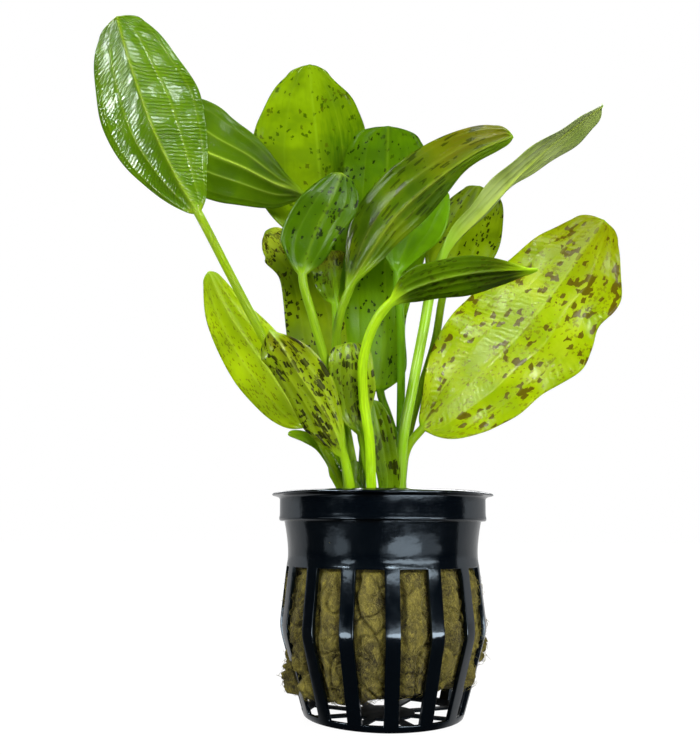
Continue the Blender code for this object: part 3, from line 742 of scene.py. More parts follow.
def fibre_tree():
    """Threads scattered on a surface, laid flat and turned at random."""
    tree, given = geometry_tree("loose_fibres", {
        "Per Square Metre": "Float", "Least Size": "Float", "Most Size": "Float", "Lift": "Float",
        "Slot Top": "Float", "Seed": "Int", "Fibre": "Material"})
    place = node(tree, "ShaderNodeSeparateXYZ", {0: node(tree, "GeometryNodeInputPosition")})
    facing = node(tree, "ShaderNodeSeparateXYZ", {0: node(tree, "GeometryNodeInputNormal")})
    by_slots = node(tree, "FunctionNodeCompare", {0: place.outputs["Z"], 1: given["Slot Top"]},
                    data_type="FLOAT", operation="LESS_THAN")
    on_top = node(tree, "FunctionNodeCompare", {0: facing.outputs["Z"], 1: FACING_UP},
                  data_type="FLOAT", operation="GREATER_THAN")
    free = node(tree, "FunctionNodeBooleanMath", {0: by_slots, 1: on_top}, operation="OR")
    spots = node(tree, "GeometryNodeDistributePointsOnFaces", {
        "Selection": free, "Mesh": given["Geometry"], "Density": given["Per Square Metre"],
        "Seed": given["Seed"]}, distribute_method="RANDOM")
    choices = node(tree, "GeometryNodeGeometryToInstance")
    for thread in threads:
        shape = node(tree, "GeometryNodeObjectInfo", {"Object": thread}).outputs["Geometry"]
        feed(choices, {0: shape})
    normal = spots.outputs["Normal"]
    flat = node(tree, "FunctionNodeAlignRotationToVector", {"Vector": normal}, axis="Z")
    tilt = node(tree, "FunctionNodeRandomValue", {0: (-TILT, -TILT, 0.0), 1: (TILT, TILT, math.tau)},
                data_type="FLOAT_VECTOR")
    turned = node(tree, "FunctionNodeRotateRotation", {"Rotation": flat, "Rotate By": tilt},
                  rotation_space="LOCAL")
    size = node(tree, "FunctionNodeRandomValue", {2: given["Least Size"], 3: given["Most Size"]},
                data_type="FLOAT")
    lift = node(tree, "ShaderNodeVectorMath", {0: normal, "Scale": given["Lift"]}, operation="SCALE")
    raised = node(tree, "GeometryNodeSetPosition", {"Geometry": spots, "Offset": lift})
    copies = node(tree, "GeometryNodeInstanceOnPoints", {
        "Points": raised, "Instance": choices, "Pick Instance": True, "Rotation": turned, "Scale": size})
    real = node(tree, "GeometryNodeRealizeInstances", {0: copies})
    return end_tree(tree, real, given["Fibre"])


fibres = bpy.data.objects.new("wool_fibres", wool.data.copy())
bpy.context.scene.collection.objects.link(fibres)
run_tree(fibres, fibre_tree(), {
    "Per Square Metre": 0.5e6, "Least Size": 0.35, "Most Size": 1.05, "Lift": 0.02 * MM,
    "Slot Top": 33.4 * MM, "Seed": 7, "Fibre": fibre_finish})
for thread in threads:
    bpy.data.objects.remove(thread, do_unlink=True)
finish_piece(wool, "rockwool_plug")
finish_piece(fibres, "rockwool_plug")


# %% [markdown]
# The root stock is a short knob, hidden by the rim in the photograph but seen from above. Old leaf bases
# overlap on it like scales, so it is a low dome whose surface is ridged towards its rim.

# %% Root stock
STOCK_X, STOCK_REACH, STOCK_LOW, STOCK_HIGH = -3.0 * MM, 8.6 * MM, 41.6 * MM, 44.5 * MM
STOCK_AROUND, STOCK_RINGS = 96, 27
PLANT_IOR = 1.42


def root_stock_finish():
    """Firm pale green plant tissue, browner in the folds."""
    mat, tree, shader, place = new_finish("root_stock_tissue")
    spots = node(tree, "ShaderNodeTexNoise", {
        "Vector": place, "Scale": 1 / (1.6 * MM), "Detail": 5.0, "Roughness": 0.65})
    level = node(tree, "ShaderNodeMapRange", {"Value": spots, "From Min": 0.35, "From Max": 0.65})
    colour = node(tree, "ShaderNodeMix", {0: level, 6: "4a3c16", 7: "6c7a28"}, data_type="RGBA")
    bump = node(tree, "ShaderNodeBump", {"Strength": 0.5, "Distance": 0.2 * MM, "Height": spots})
    feed(shader, {"Roughness": 0.55, "IOR": PLANT_IOR, "Base Color": colour, "Normal": bump})
    return mat


def root_stock():
    """A low ridged dome just above the wool."""
    points = []
    for j in range(STOCK_RINGS):
        share = j / (STOCK_RINGS - 1)
        for i in range(STOCK_AROUND):
            turn = math.tau * i / STOCK_AROUND
            ridge = 0.5 + 0.5 * math.cos(9 * turn + 7 * share)
            x, y = round_axis(STOCK_REACH * min(1.0, 1.25 * share) * (0.94 + 0.06 * ridge), turn)
            x += STOCK_X
            rise = math.sqrt(max(0.0, 1 - share ** 3)) * (0.82 + 0.18 * ridge * share)
            z = STOCK_LOW + (STOCK_HIGH - STOCK_LOW) * rise + 0.25 * MM * felt(x, y, 0, 1.5)
            points.append((x, y, z))
    faces = ring_faces(STOCK_RINGS, STOCK_AROUND)
    return mesh_piece("root_stock_dome", points, faces, root_stock_finish())


finish_piece(root_stock(), "crown")


# %% [markdown]
# Every leaf grows from the root stock on a round stalk that runs on into the blade as its midrib. Side
# nerves leave at the blade's base, bow out and meet again near the tip, and fine cross veins join them
# like the rungs of a ladder. A leaf could be a flat card with a picture, but here it is a loft: one row of
# the table gives the line of the stalk and of the midrib, the half widths on both sides, and the way the
# upper face looks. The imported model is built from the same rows, so each leaf stays where it is.

# %% Table of leaves
ROOT_Z = 44.3

# Millimetres: stalk line, midrib line, half widths left and right at five places from base to tip, the
# way the upper face looks at base and tip, and how many degrees the halves fold up there. One value
# stands for both ends.
LEAVES = {
    "top_left": dict(
        stalk=((-6.5, -1, ROOT_Z), (-9, -2.5, 53), (-15.5, -7.5, 65), (-31, -13, 92.5), (-38, -16, 105.5),
               (-45.5, -18, 119.5)),
        blade=((-51, -20, 128.5), (-56.5, -22, 139.5), (-61, -24, 151.5), (-63.5, -26, 159.5),
               (-65.5, -27, 166.5)),
        left=(4.5, 10, 13.7, 11.2, 6.5), right=(3.8, 9, 13.4, 11.8, 7),
        up=((0.25, 1, 0.3),), fold=(10,)),
    "back_left": dict(
        stalk=((-6.5, 6, ROOT_Z), (-9.5, 8, 53.5), (-11.5, 9, 72.5), (-13, 10, 97), (-16, 11, 120.5),
               (-21, 12, 136.5)),
        blade=((-30, 13, 141), (-39.5, 14, 146.5), (-50, 15, 151.5), (-58, 15, 156.5), (-65, 15, 161.5)),
        left=(1.5, 6, 10.7, 13, 9.5), right=(3.5, 8.6, 12.2, 12.5, 9.5),
        up=((0.1, 0.9, 0.4),), fold=(8,)),
    "back_top": dict(
        stalk=((-3.5, 6, ROOT_Z), (-5, 9, 54), (-4.5, 12, 70), (-7.5, 17, 96), (-14, 21, 120.5)),
        blade=((-16, 23, 132.5), (-17.5, 26, 148), (-19, 29, 164.5), (-20.5, 31, 177.5), (-21.5, 32, 190)),
        left=(4.5, 17, 20.6, 16.2, 8), right=(5.5, 11.5, 15.1, 13.6, 6.6),
        up=((0, -0.9, 0.3),), fold=(8,)),
    "small_centre": dict(
        stalk=((-8.5, -4, ROOT_Z), (-8.5, -7, 53), (-11, -7.5, 70), (-14, -10.5, 83), (-17.5, -13, 95),
               (-20, -14, 105)),
        blade=((-18.5, -15, 111), (-16, -16, 117.5), (-13, -17, 123.5), (-10.5, -17, 130.5)),
        left=(3, 7.5, 7.5, 6, 3), right=(2.5, 5, 6, 7, 4),
        up=((0.1, -1, 0.2), (0.3, -1, 0.2)), fold=(12,)),
    "back_centre": dict(
        stalk=((0.5, 2, ROOT_Z), (3.6, 3.3, 53.5), (4, 6, 65), (2, 9, 73.5), (0, 11, 80.5)),
        blade=((1, 13, 92.5), (1.5, 15, 110), (2, 17, 128.5), (2.5, 19, 146.5), (3, 20, 162.5)),
        left=(10.5, 14, 14.5, 13.5, 11), right=(6.5, 6, 11.5, 14, 10),
        up=((0, -1, 0.2),), fold=(6,)),
    "front_tall": dict(
        stalk=((-3.5, -2, ROOT_Z), (-6, -4.5, 53), (-9, -4.5, 68), (-11.5, -5, 83), (-11.5, -7, 93),
               (-9, -9, 101.5)),
        blade=((-4.5, -11, 109.5), (3.5, -13, 121), (13.5, -16, 129.5), (23.5, -18, 136), (32, -19, 139.5)),
        left=(1, 3.7, 5.8, 2.8, 2), right=(2.5, 8.4, 9.4, 7.5, 4.2),
        up=((0.3, 0.9, 0.3), (-0.1, 0.75, 0.65)), fold=(14,)),
    "mid_right": dict(
        stalk=((1.2, 5.6, ROOT_Z), (4.4, 8.4, 54), (5.2, 10.5, 67), (5.5, 8.5, 82), (5.5, 7, 96.5),
               (4.5, 5, 111.5)),
        blade=((6.5, 4, 118), (9.5, 3, 124), (12.5, 2, 129.5), (16.5, 1, 135)),
        left=(2.5, 7, 8, 7, 4), right=(2, 4.7, 7.6, 6.8, 4),
        up=((0.1, -1, 0.3),), fold=(10,)),
    "far_right": dict(
        stalk=((2, -1.5, ROOT_Z), (4.2, -1.6, 53.5), (5.2, -1.5, 66), (7.8, 0, 79), (11, 1, 95),
               (14.2, 2, 110)),
        blade=((18.5, 2, 119), (27.2, 1, 127.6), (37.2, 0, 138), (45, -2, 145), (51.8, -4, 150),
               (59, -6, 155.3)),
        left=(1.4, 4.9, 2.6, 6.8, 5.4), right=(1.4, 3.8, 7.5, 7.8, 5.4),
        up=((-0.61, 0.47, 0.63), (-0.68, 0.15, 0.71)), fold=(25.5, -18)),
    "front_right": dict(
        stalk=((-2, -8, ROOT_Z), (-3, -11.5, 53), (-3.5, -13.5, 64.5), (-5, -14, 75), (-5, -16, 83.5),
               (-3, -18, 90.5), (0, -20, 95)),
        blade=((4, -22, 98), (10.5, -25, 100), (18, -28, 101), (26.5, -31, 101), (33.5, -33, 100.5)),
        left=(1.5, 4.5, 6, 4.5, 1.5), right=(1, 4.5, 4.5, 3, 0.5),
        up=((-0.2, 0.75, 0.6), (0.0, 0.7, 0.7)), fold=(10,)),
    "back_right": dict(
        stalk=((4, 4, ROOT_Z), (5.1, 5.7, 53.5), (6.7, 7.5, 65.5), (10.8, 11.5, 80.5), (15.5, 15, 95.5),
               (18, 17, 108.5)),
        blade=((20.5, 18, 117.5), (23.5, 19, 126.5), (27, 20, 135), (30, 20, 143.5)),
        left=(3, 7.5, 9.5, 8, 4.5), right=(3, 8.5, 11.5, 10, 7),
        up=((0, -1, 0.2),), fold=(6,)),
    "low_right": dict(
        stalk=((4, 1, ROOT_Z), (5, 1, 53.5), (5.2, 1.2, 58.5), (6.7, 1, 64.5), (10.4, 1, 69)),
        blade=((16.5, 1, 75), (24.5, 2, 82.5), (32.5, 3, 90.5), (40.5, 4, 99.5), (50, 5, 111.5),
               (61.5, 6, 127.5)),
        left=(5.5, 14.4, 16, 13.2, 7.5), right=(9.5, 14, 17.2, 15.6, 7.2),
        up=((0.1, -1, 0.25),), fold=(5,)),
    "low_left": dict(
        stalk=((-9, 0.5, ROOT_Z), (-10, 2.5, 53.5), (-12.5, 0.5, 59), (-15.5, -3, 64.5), (-19, -4, 69)),
        blade=((-23, -5, 74.5), (-30, -6, 84.5), (-35.5, -7, 92), (-40, -8, 99), (-44, -9, 107.5)),
        left=(4, 6.2, 7.4, 5, 2.6), right=(5, 8.2, 8.7, 6.2, 3),
        up=((0.0, 0.9, 0.3),), fold=(8,)),
    "front_left": dict(
        stalk=((-7.5, -9.5, ROOT_Z), (-8, -11.5, 53), (-9.5, -12, 60.5)),
        blade=((-12, -15, 67), (-16.5, -18, 74), (-20.8, -21, 80), (-24.3, -23, 85.5), (-27, -22, 89)),
        left=(1, 3, 6, 5.5, 1.5), right=(3, 6.5, 6, 5.5, 6),
        up=((0.1, 0.9, 0.4),), fold=(8,)),
    "front_centre": dict(
        stalk=((-1, -4.5, ROOT_Z), (-2.6, -5.5, 53), (-3.7, -9.3, 57.5), (-5.2, -10.5, 65)),
        blade=((-7, -10, 71), (-8, -11, 77.5), (-8, -12, 83.5), (-8.5, -12, 88.5)),
        left=(1, 3.5, 4.5, 5.5, 4.5), right=(2, 4, 6, 5.5, 4.5),
        up=((0, -1, 0.2),), fold=(6,)),
    "olive_left": dict(
        stalk=((-9.5, 4, ROOT_Z), (-10.5, 5, 53.5), (-11.5, 4.5, 61), (-12.5, 5, 69.5)),
        blade=((-14, 6, 81), (-16.5, 7, 93.5), (-19.5, 8, 105.5), (-23, 8, 115), (-27, 7, 120.5),
               (-31.5, 5, 123.5)),
        left=(4.2, 7.4, 7.9, 6.2, 6.8), right=(2.5, 6, 8, 7.5, 4),
        up=((0, -1, 0.2), (0.1, -1, 0.3)), fold=(4,)),
    "ragged_centre": dict(
        stalk=((-5, 2, ROOT_Z), (-7.5, 4, 53.5), (-10, 0.5, 71), (-11.5, -1, 89), (-12, -2, 101)),
        blade=((-12.5, -3, 104.5), (-13, -4, 108), (-13.5, -4, 111.5), (-14, -4, 115)),
        left=(2, 4, 5, 5, 5), right=(0.5, 1.5, 2.5, 3.5, 4),
        up=((0, -1, 0.2),), fold=(4,)),
    "low_centre": dict(
        stalk=((-1, -1.5, ROOT_Z), (0.4, -3, 50.5)),
        blade=((1.2, -3.4, 54.5), (0.6, -4, 60.5), (-0.6, -4.2, 67), (-2.6, -4.2, 75.5)),
        left=(1.8, 2.6, 3, 2.6, 1.4), right=(2.4, 3.2, 3.4, 3.4, 2.2),
        up=((0, -1, 0.2),), fold=(8,)),
    "short_strap": dict(
        stalk=((-11, -2, ROOT_Z), (-10.4, -0.8, 53.5), (-12.2, -2, 57)),
        blade=((-13.8, -4, 61), (-16, -5.5, 64.2), (-19.3, -7, 66.3), (-23.3, -8, 66.5)),
        left=(0.5, 1, 1.5, 2, 1), right=(1, 1, 1, 1, 1),
        up=((0.3, -1, 0.2), (0.3, -1, 0.3)), fold=(10,)),
    "cut_stalk": dict(
        stalk=((-4, -5.5, ROOT_Z), (-6.5, -9, 53)),
        blade=((-7, -9, 56.5), (-7, -9, 58), (-7, -8.5, 60)),
        left=(1, 1, 1, 1, 1), right=(1, 0.5, 1, 1, 1),
        up=((0, -1, 0.2),), fold=(0,), cut=True),
}
print(len(LEAVES), "leaves in the table")


# %% [markdown]
# Two curves carry a leaf: a smooth line through the table's points, and a smooth half width through the
# five given ones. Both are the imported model's own rules, written again here. Two more helpers give a soft
# step and made-up hilly ground for the small unevenness of a grown thing.

# %% Smooth lines and widths
def smooth_line(points, samples):
    """A Catmull-Rom curve through the points, spaced by the square root of their distances."""
    p = np.array(points, float)
    p = np.vstack([2 * p[0] - p[1], p, 2 * p[-1] - p[-2]])
    t = np.r_[0, np.cumsum(np.linalg.norm(np.diff(p, axis=0), axis=1) ** 0.5)]
    line = []
    for i in range(1, len(p) - 2):
        for k in range(samples + (i == len(p) - 3)):
            x = t[i] + (t[i + 1] - t[i]) * k / samples
            a = [((t[j + 1] - x) * p[j] + (x - t[j]) * p[j + 1]) / (t[j + 1] - t[j]) for j in (i - 1, i, i + 1)]
            b = [((t[i + 1] - x) * a[0] + (x - t[i - 1]) * a[1]) / (t[i + 1] - t[i - 1]),
                 ((t[i + 2] - x) * a[1] + (x - t[i]) * a[2]) / (t[i + 2] - t[i])]
            line.append(((t[i + 1] - x) * b[0] + (x - t[i]) * b[1]) / (t[i + 1] - t[i]))
    return np.array(line)


def half_width(five, share):
    """Half width at a share of the blade from 0 (base) to 1 (tip)."""
    knots = np.array([-five[0], 0, *five, 0, -five[-1]], float)
    angle = np.degrees(np.arccos(np.clip(1 - 2 * share, -1, 1))) / 30
    k = np.minimum(angle.astype(int), 5)
    x = angle - k
    p0, p1, p2, p3 = knots[k], knots[k + 1], knots[k + 2], knots[k + 3]
    value = p1 + 0.5 * x * (p2 - p0 + x * (2 * p0 - 5 * p1 + 4 * p2 - p3 + x * (3 * (p1 - p2) + p3 - p0)))
    blunt = 1 + 0.12 * np.sin(np.pi * np.clip(angle - 5, 0, 1) ** 0.8) ** 2
    return np.maximum(value * blunt, 0)


def smooth_step(low, high, value):
    """0 below low, 1 above high, and a smooth rise between."""
    t = np.clip((value - low) / (high - low), 0, 1)
    return t * t * (3 - 2 * t)


def hills(u, v, seed, waves=5):
    """Smooth made-up ground from about -1 to 1: waves that cross at odd angles."""
    rng = np.random.default_rng(seed)
    total = np.zeros(np.broadcast(u, v).shape)
    for _ in range(waves):
        a, stretch, shift = rng.uniform(0, math.tau), rng.uniform(0.6, 1.6), rng.uniform(0, math.tau)
        total = total + np.sin(stretch * (u * math.cos(a) + v * math.sin(a)) + shift)
    return total / 3.2


# %% [markdown]
# A loft needs a frame at every row of points: where the midrib is, which way is sideways, and which way
# the upper face looks. Across the blade, the points crowd where the form is sharp, at the midrib and at
# the nerves. A recipe says how a leaf's form differs from the plain one.

# %% Frames and columns of a leaf
LINE_SAMPLES = 12
# The plain form, lengths in millimetres. fine: row spacing. taper: how soon the midrib thins. stalk: its
# thickness, 1 being usual. edge: bumps of the outline. nerves: places of the side nerves as shares of the
# half width. nerve, second: height of the nerves and of the outer ones. puff: height between nerves.
# rungs, rung_mm: height and spacing of the cross veins. wave, wave_mm: of the margin. slow: slow bends.
# curl: how far the sides curl down. rib, rib_end: how wide the pale midrib is and where it fades out.
PLAIN_LOOK = dict(
    fine=0.45, taper=3.2, stalk=1.0, edge=(), nerves=(0.46, 0.84), nerve=1.0, second=0.4, puff=0.14,
    rungs=0.035, rung_mm=1.25, wave=0.5, wave_mm=15.0, slow=0.5, curl=0.0, rib=0.9, rib_end=1.3)


def cross_places(count, nerves):
    """Places from -1 to 1 across the blade, close together at the midrib and the nerves."""
    s = np.linspace(-1, 1, 4001)
    crowd = 1 + 7 * np.exp(-(s / 0.05) ** 2)
    for nerve in nerves:
        crowd = crowd + 3.5 * np.exp(-((np.abs(s) - nerve) / 0.03) ** 2)
    total = np.r_[0, np.cumsum((crowd[1:] + crowd[:-1]) / 2)]
    return np.interp(np.linspace(0, total[-1], count), total, s)


def leaf_frames(row, fine):
    """At each row of points: the distance along the leaf, whether it is on the blade, the share of the
    blade, the centre, and the directions sideways and upwards."""
    line = smooth_line([*row["stalk"], *row["blade"]], LINE_SAMPLES)
    run = np.r_[0, np.cumsum(np.linalg.norm(np.diff(line, axis=0), axis=1))]
    tangent = np.gradient(line, run, axis=0)
    base, end = run[(len(row["stalk"]) - 1) * LINE_SAMPLES], run[-1]
    t = np.linspace(0, 1, max(24, int((end - base) / fine)))
    blade = base + (end - base) * (0.985 * t + 0.0148 * (1 - np.cos(np.pi * t)) / 2)
    d = np.r_[np.linspace(0, base, max(6, int(base / 1.6)), endpoint=False), blade]
    centre, along = (np.stack([np.interp(d, run, way[:, k]) for k in range(3)], 1) for way in (line, tangent))
    along[0] = (0, 0, 1)
    along /= np.linalg.norm(along, axis=1, keepdims=True)
    share = np.clip((d - base) / (end - base), 0, 1)
    facing = (1 - share)[:, None] * np.array(row["up"][0]) + share[:, None] * np.array(row["up"][-1])
    side = np.cross(facing, along)
    side /= np.linalg.norm(side, axis=1, keepdims=True)
    return d, (d >= base).astype(float), share, centre, side, np.cross(along, side)


# %% [markdown]
# A leaf is a closed skin: an upper and a lower sheet of points, joined along the margins and closed at
# the foot and at the tip. It carries a map in millimetres and the attributes that the finish reads.

# %% Closed skin of a leaf
MAP_MM = 50.0


def closed_leaf(name, upper, lower, material):
    """Two sheets of points, rows by columns, as one closed skin."""
    ring = np.concatenate([upper, lower[:, ::-1]], axis=1)
    rows, around = ring.shape[:2]
    faces = ring_bands(rows, around)
    for start in (0, (rows - 1) * around):
        for k in range(around // 2 - 1):
            quad = [start + k, start + k + 1, start + around - 2 - k, start + around - 1 - k]
            faces.append(quad[::-1] if start == 0 else quad)
    return mesh_piece(name, ring.reshape(-1, 3) * MM, faces, material)


def map_leaf(mesh, shape, across_mm, along_mm, channels):
    """Give both sheets the map in millimetres, in steps of MAP_MM, and an attribute for each channel."""
    def both(values):
        values = np.broadcast_to(values, shape)
        return np.concatenate([values, values[:, ::-1]], axis=1).ravel()

    for label, values in channels.items():
        mesh.attributes.new(label, "FLOAT", "POINT").data.foreach_set("value", both(values).astype(np.float32))
    corner = np.zeros(len(mesh.loops), dtype=np.int32)
    mesh.loops.foreach_get("vertex_index", corner)
    uv = np.stack([both(across_mm), both(along_mm)], 1) / MAP_MM
    mesh.uv_layers.new(name="leaf_mm").data.foreach_set("uv", uv[corner].astype(np.float32).ravel())


# %% [markdown]
# The blade's cross-section is the place where a leaf becomes real. The midrib stands proud on the
# underside and lies in a shallow groove on the upper side. The blade puffs up a little between the nerves,
# the cross veins pinch it every 1.2 mm or so, and the margin waves. The stalk is the same section with the
# blade's width taken away, so both flow into each other.

# %% Leaf loft
STALK_R = 1.1
BLADE_T = 0.17
THINNEST = 0.03
NERVE_PROUD, NERVE_SUNK = 0.13, 0.07


def leaf_outline(row, look, share, on_blade, r):
    """Half widths on the left and on the right, with the recipe's bumps."""
    left, right = (
        np.maximum(half_width(row[half], share) * on_blade, r)[:, None] for half in ("left", "right"))
    for half, place, spread, more in look["edge"]:
        lobe = (more * np.exp(-((share - place) / spread) ** 2) * on_blade)[:, None]
        left, right = (left + lobe, right) if half == "left" else (left, right + lobe)
    return left, right


def leaf_loft(name, row, look, seed, material):
    """One leaf as a closed skin. Everything is in millimetres until the skin is made."""
    d, on_blade, share, centre, side, normal = leaf_frames(row, look["fine"])
    thin = np.where(on_blade > 0, np.maximum(0.24, 1 - look["taper"] * share) ** 0.8, 1.0)
    r = STALK_R * look["stalk"] * thin * (1 + 0.32 * np.exp(-d / 5.0))
    wide = max(*row["left"], *row["right"])
    nerves = look["nerves"]
    s = cross_places(int(np.clip(round(2 * wide / 0.42), 21, 74)) // 2 * 2 + 1, nerves)[None, :]
    left, right = leaf_outline(row, look, share, on_blade, r)
    width = np.where(s > 0, left, right)
    x, out, r, d = s * width, np.abs(s), r[:, None], d[:, None]
    # Thickness: the round stalk gives way to the sheet with its midrib and nerves
    grown = smooth_step(0.0, 3.2, width - r)
    bell = r * np.exp(-(x / (0.78 * r)) ** 2)
    bend = np.tan(np.radians(np.interp(share, (0, 1), (row["fold"][0], row["fold"][-1]))))[:, None]
    steep = np.sqrt(1 + bend ** 2)
    sheet = BLADE_T * (0.28 + 0.72 * np.sqrt(np.maximum(0.0, 1 - out ** 3))) * steep
    nerve = np.zeros_like(x)
    for place, broad, weight in zip(nerves, (0.27, 0.23), (1.0, look["second"])):
        nerve = np.maximum(nerve, weight * np.exp(-(((out - place) * width) / broad) ** 2))
    nerve = nerve * grown * smooth_step(0.0, 2.2, width * 0.26) * smooth_step(1.0, 0.82, share)[:, None]
    stalk_part = (1 - grown) * r * np.sqrt(np.maximum(0, 1 - s ** 2))
    lower = np.maximum(stalk_part + grown * (bell + 0.5 * sheet), THINNEST * steep)
    upper = np.maximum(stalk_part + grown * (0.12 * bell + 0.5 * sheet), THINNEST * steep)
    lower, upper = lower + NERVE_PROUD * nerve * look["nerve"], upper - NERVE_SUNK * nerve
    # The middle surface: fold, puff between the nerves, cross veins, waves and slow bends
    lift = (np.sqrt(x ** 2 + (0.7 * r) ** 2) - 0.7 * r) * bend * smooth_step(0, 2.5, width - r)
    between = np.zeros_like(x)
    for a, b in zip((0, *nerves), (*nerves, 1.0)):
        between = between + ((out >= a) & (out < b)) * np.sin(np.pi * (out - a) / (b - a)) ** 2
    puff = look["puff"] * between * (1 + 0.6 * hills(x / 4, d / 4, seed))
    slant = d + 0.55 * np.abs(x) + 0.35 * hills(x / 2.6, d / 2.6, seed + 5)
    rungs = look["rungs"] * np.sin(slant / look["rung_mm"] * math.tau) * np.sqrt(between)
    rungs = rungs * (0.55 + 0.45 * hills(x / 3.1, d / 3.1, seed + 9))
    sway = np.sin(d / look["wave_mm"] * math.tau + np.where(s > 0, 0.0, 2.1) + seed)
    wave = look["wave"] * out ** 2.5 * sway * smooth_step(1.0, 0.86, share)[:, None]
    slow = look["slow"] * hills(x / 9, d / 11, seed + 2) * np.minimum(1, np.abs(x) / 4)
    middle = lift + grown * (puff + rungs + wave + slow - look["curl"] * s ** 2 * width)
    middle = middle * np.minimum(1, width / 2.0)
    spine = centre[:, None, :] + side[:, None, :] * x[..., None]
    sheets = [spine + normal[:, None, :] * height[..., None] for height in (middle + upper, middle - lower)]
    leaf = closed_leaf(name, *sheets, material)
    fade = smooth_step(look["rib_end"], look["rib_end"] - 0.35, share)[:, None]
    midrib = np.exp(-(x / (look["rib"] * r + 0.1)) ** 2) * grown * fade
    map_leaf(leaf.data, x.shape, s * 0.5 * (wide + width), d, {
        "nerve": nerve, "midrib": midrib, "blade": grown * on_blade[:, None], "across": s,
        "along": share[:, None]})
    return leaf


# %% [markdown]
# A living water leaf has a thin wet skin over glassy cells: IOR about 1.42, roughness 0.1 to 0.25, and
# part of the light comes through, which gives the yellow glow from behind. The tones below are written as
# bright as they look in studio light, and SKIN_SHARE is what the skin itself sends back of them, so that
# the white glints stay far brighter than the green. Its colour is not even. Broad patches shift it lighter and
# darker, fine streaks run along it, and old leaves are stained towards the tip. On two leaves the same kind
# of tinted zone is painted light and shade instead: painted shadow where a leaf in front shades one, and
# painted light on the shaded lower part of another.

# %% Mottled tones of a blade
def blade_tones(tree, place, parts, tones, dapple, stain_and_painted_light):
    """The mottled colour of a blade, and the broad patches and fine streaks that it comes from."""
    body, deep, light = tones
    broad = node(tree, "ShaderNodeTexNoise", {"Vector": place, "Scale": 1 / 11.0, "Detail": 3.0},
                 noise_dimensions="2D")
    combed = node(tree, "ShaderNodeMapping", {"Vector": place, "Scale": (1.0, 0.16, 1.0)})
    streak = node(tree, "ShaderNodeTexNoise", {
        "Vector": combed, "Scale": 1 / 1.1, "Detail": 3.0, "Roughness": 0.6}, noise_dimensions="2D")
    to_deep = node(tree, "ShaderNodeMapRange", {
        "Value": broad, "From Min": 0.34, "From Max": 0.56, "To Min": dapple, "To Max": 0.0},
        interpolation_type="SMOOTHSTEP")
    to_light = node(tree, "ShaderNodeMapRange", {
        "Value": broad, "From Min": 0.48, "From Max": 0.7, "To Max": dapple}, interpolation_type="SMOOTHSTEP")
    streaked = node(tree, "ShaderNodeMapRange", {
        "Value": streak, "From Min": 0.5, "From Max": 0.75, "To Max": 0.35 * dapple})
    colour = body
    for amount, tone in ((to_deep, deep), (to_light, light), (streaked, deep)):
        colour = node(tree, "ShaderNodeMix", {0: amount, 6: colour, 7: tone}, data_type="RGBA")
    # A tinted zone: a real stain on most leaves, painted shadow on one leaf and painted light on another.
    if stain_and_painted_light:
        tone, first, last, *sides = stain_and_painted_light
        low, high = sides or (-1.2, -1.0)
        rise, cross = (
            node(tree, "ShaderNodeMapRange", {"Value": part, "From Min": start, "From Max": stop},
                 interpolation_type="SMOOTHSTEP")
            for part, start, stop in ((parts["along"], first, last), (parts["across"], low, high)))
        where = node(tree, "ShaderNodeMath", {0: rise, 1: cross}, operation="MULTIPLY")
        uneven = node(tree, "ShaderNodeMath", {0: streak, 1: 0.9, 2: 0.35}, operation="MULTIPLY_ADD")
        amount = node(tree, "ShaderNodeMath", {0: where, 1: uneven}, operation="MULTIPLY", use_clamp=True)
        colour = node(tree, "ShaderNodeMix", {0: amount, 6: colour, 7: tone}, data_type="RGBA")
    return colour, broad, streak


# %% [markdown]
# This kind of echinodorus is flecked: brown to black spots fill single cells between the veins, longer
# than wide. A Voronoi pattern stretched along the nerves gives such cells, a noise bends them, and only
# some are coloured in. How many depends on the crowding of the flecks and on the zone of the leaf.

# %% Flecks
# Sizes in millimetres across and along, turn in degrees. bent: how crooked the cells are. crowd: size and
# range of the noise that crowds the flecks. from_to: zone along the leaf. dot: how full the cells are.
PLAIN_FLECKS = dict(turn=0, bent=0.5, crowd_mm=7.0, crowd_low=0.38, crowd_high=0.66, from_to=(0.0, 1.0),
                    dot_low=0.3, dot_high=0.75, soft=0.06, strength=0.9)
ZONE_SOFT = 0.12


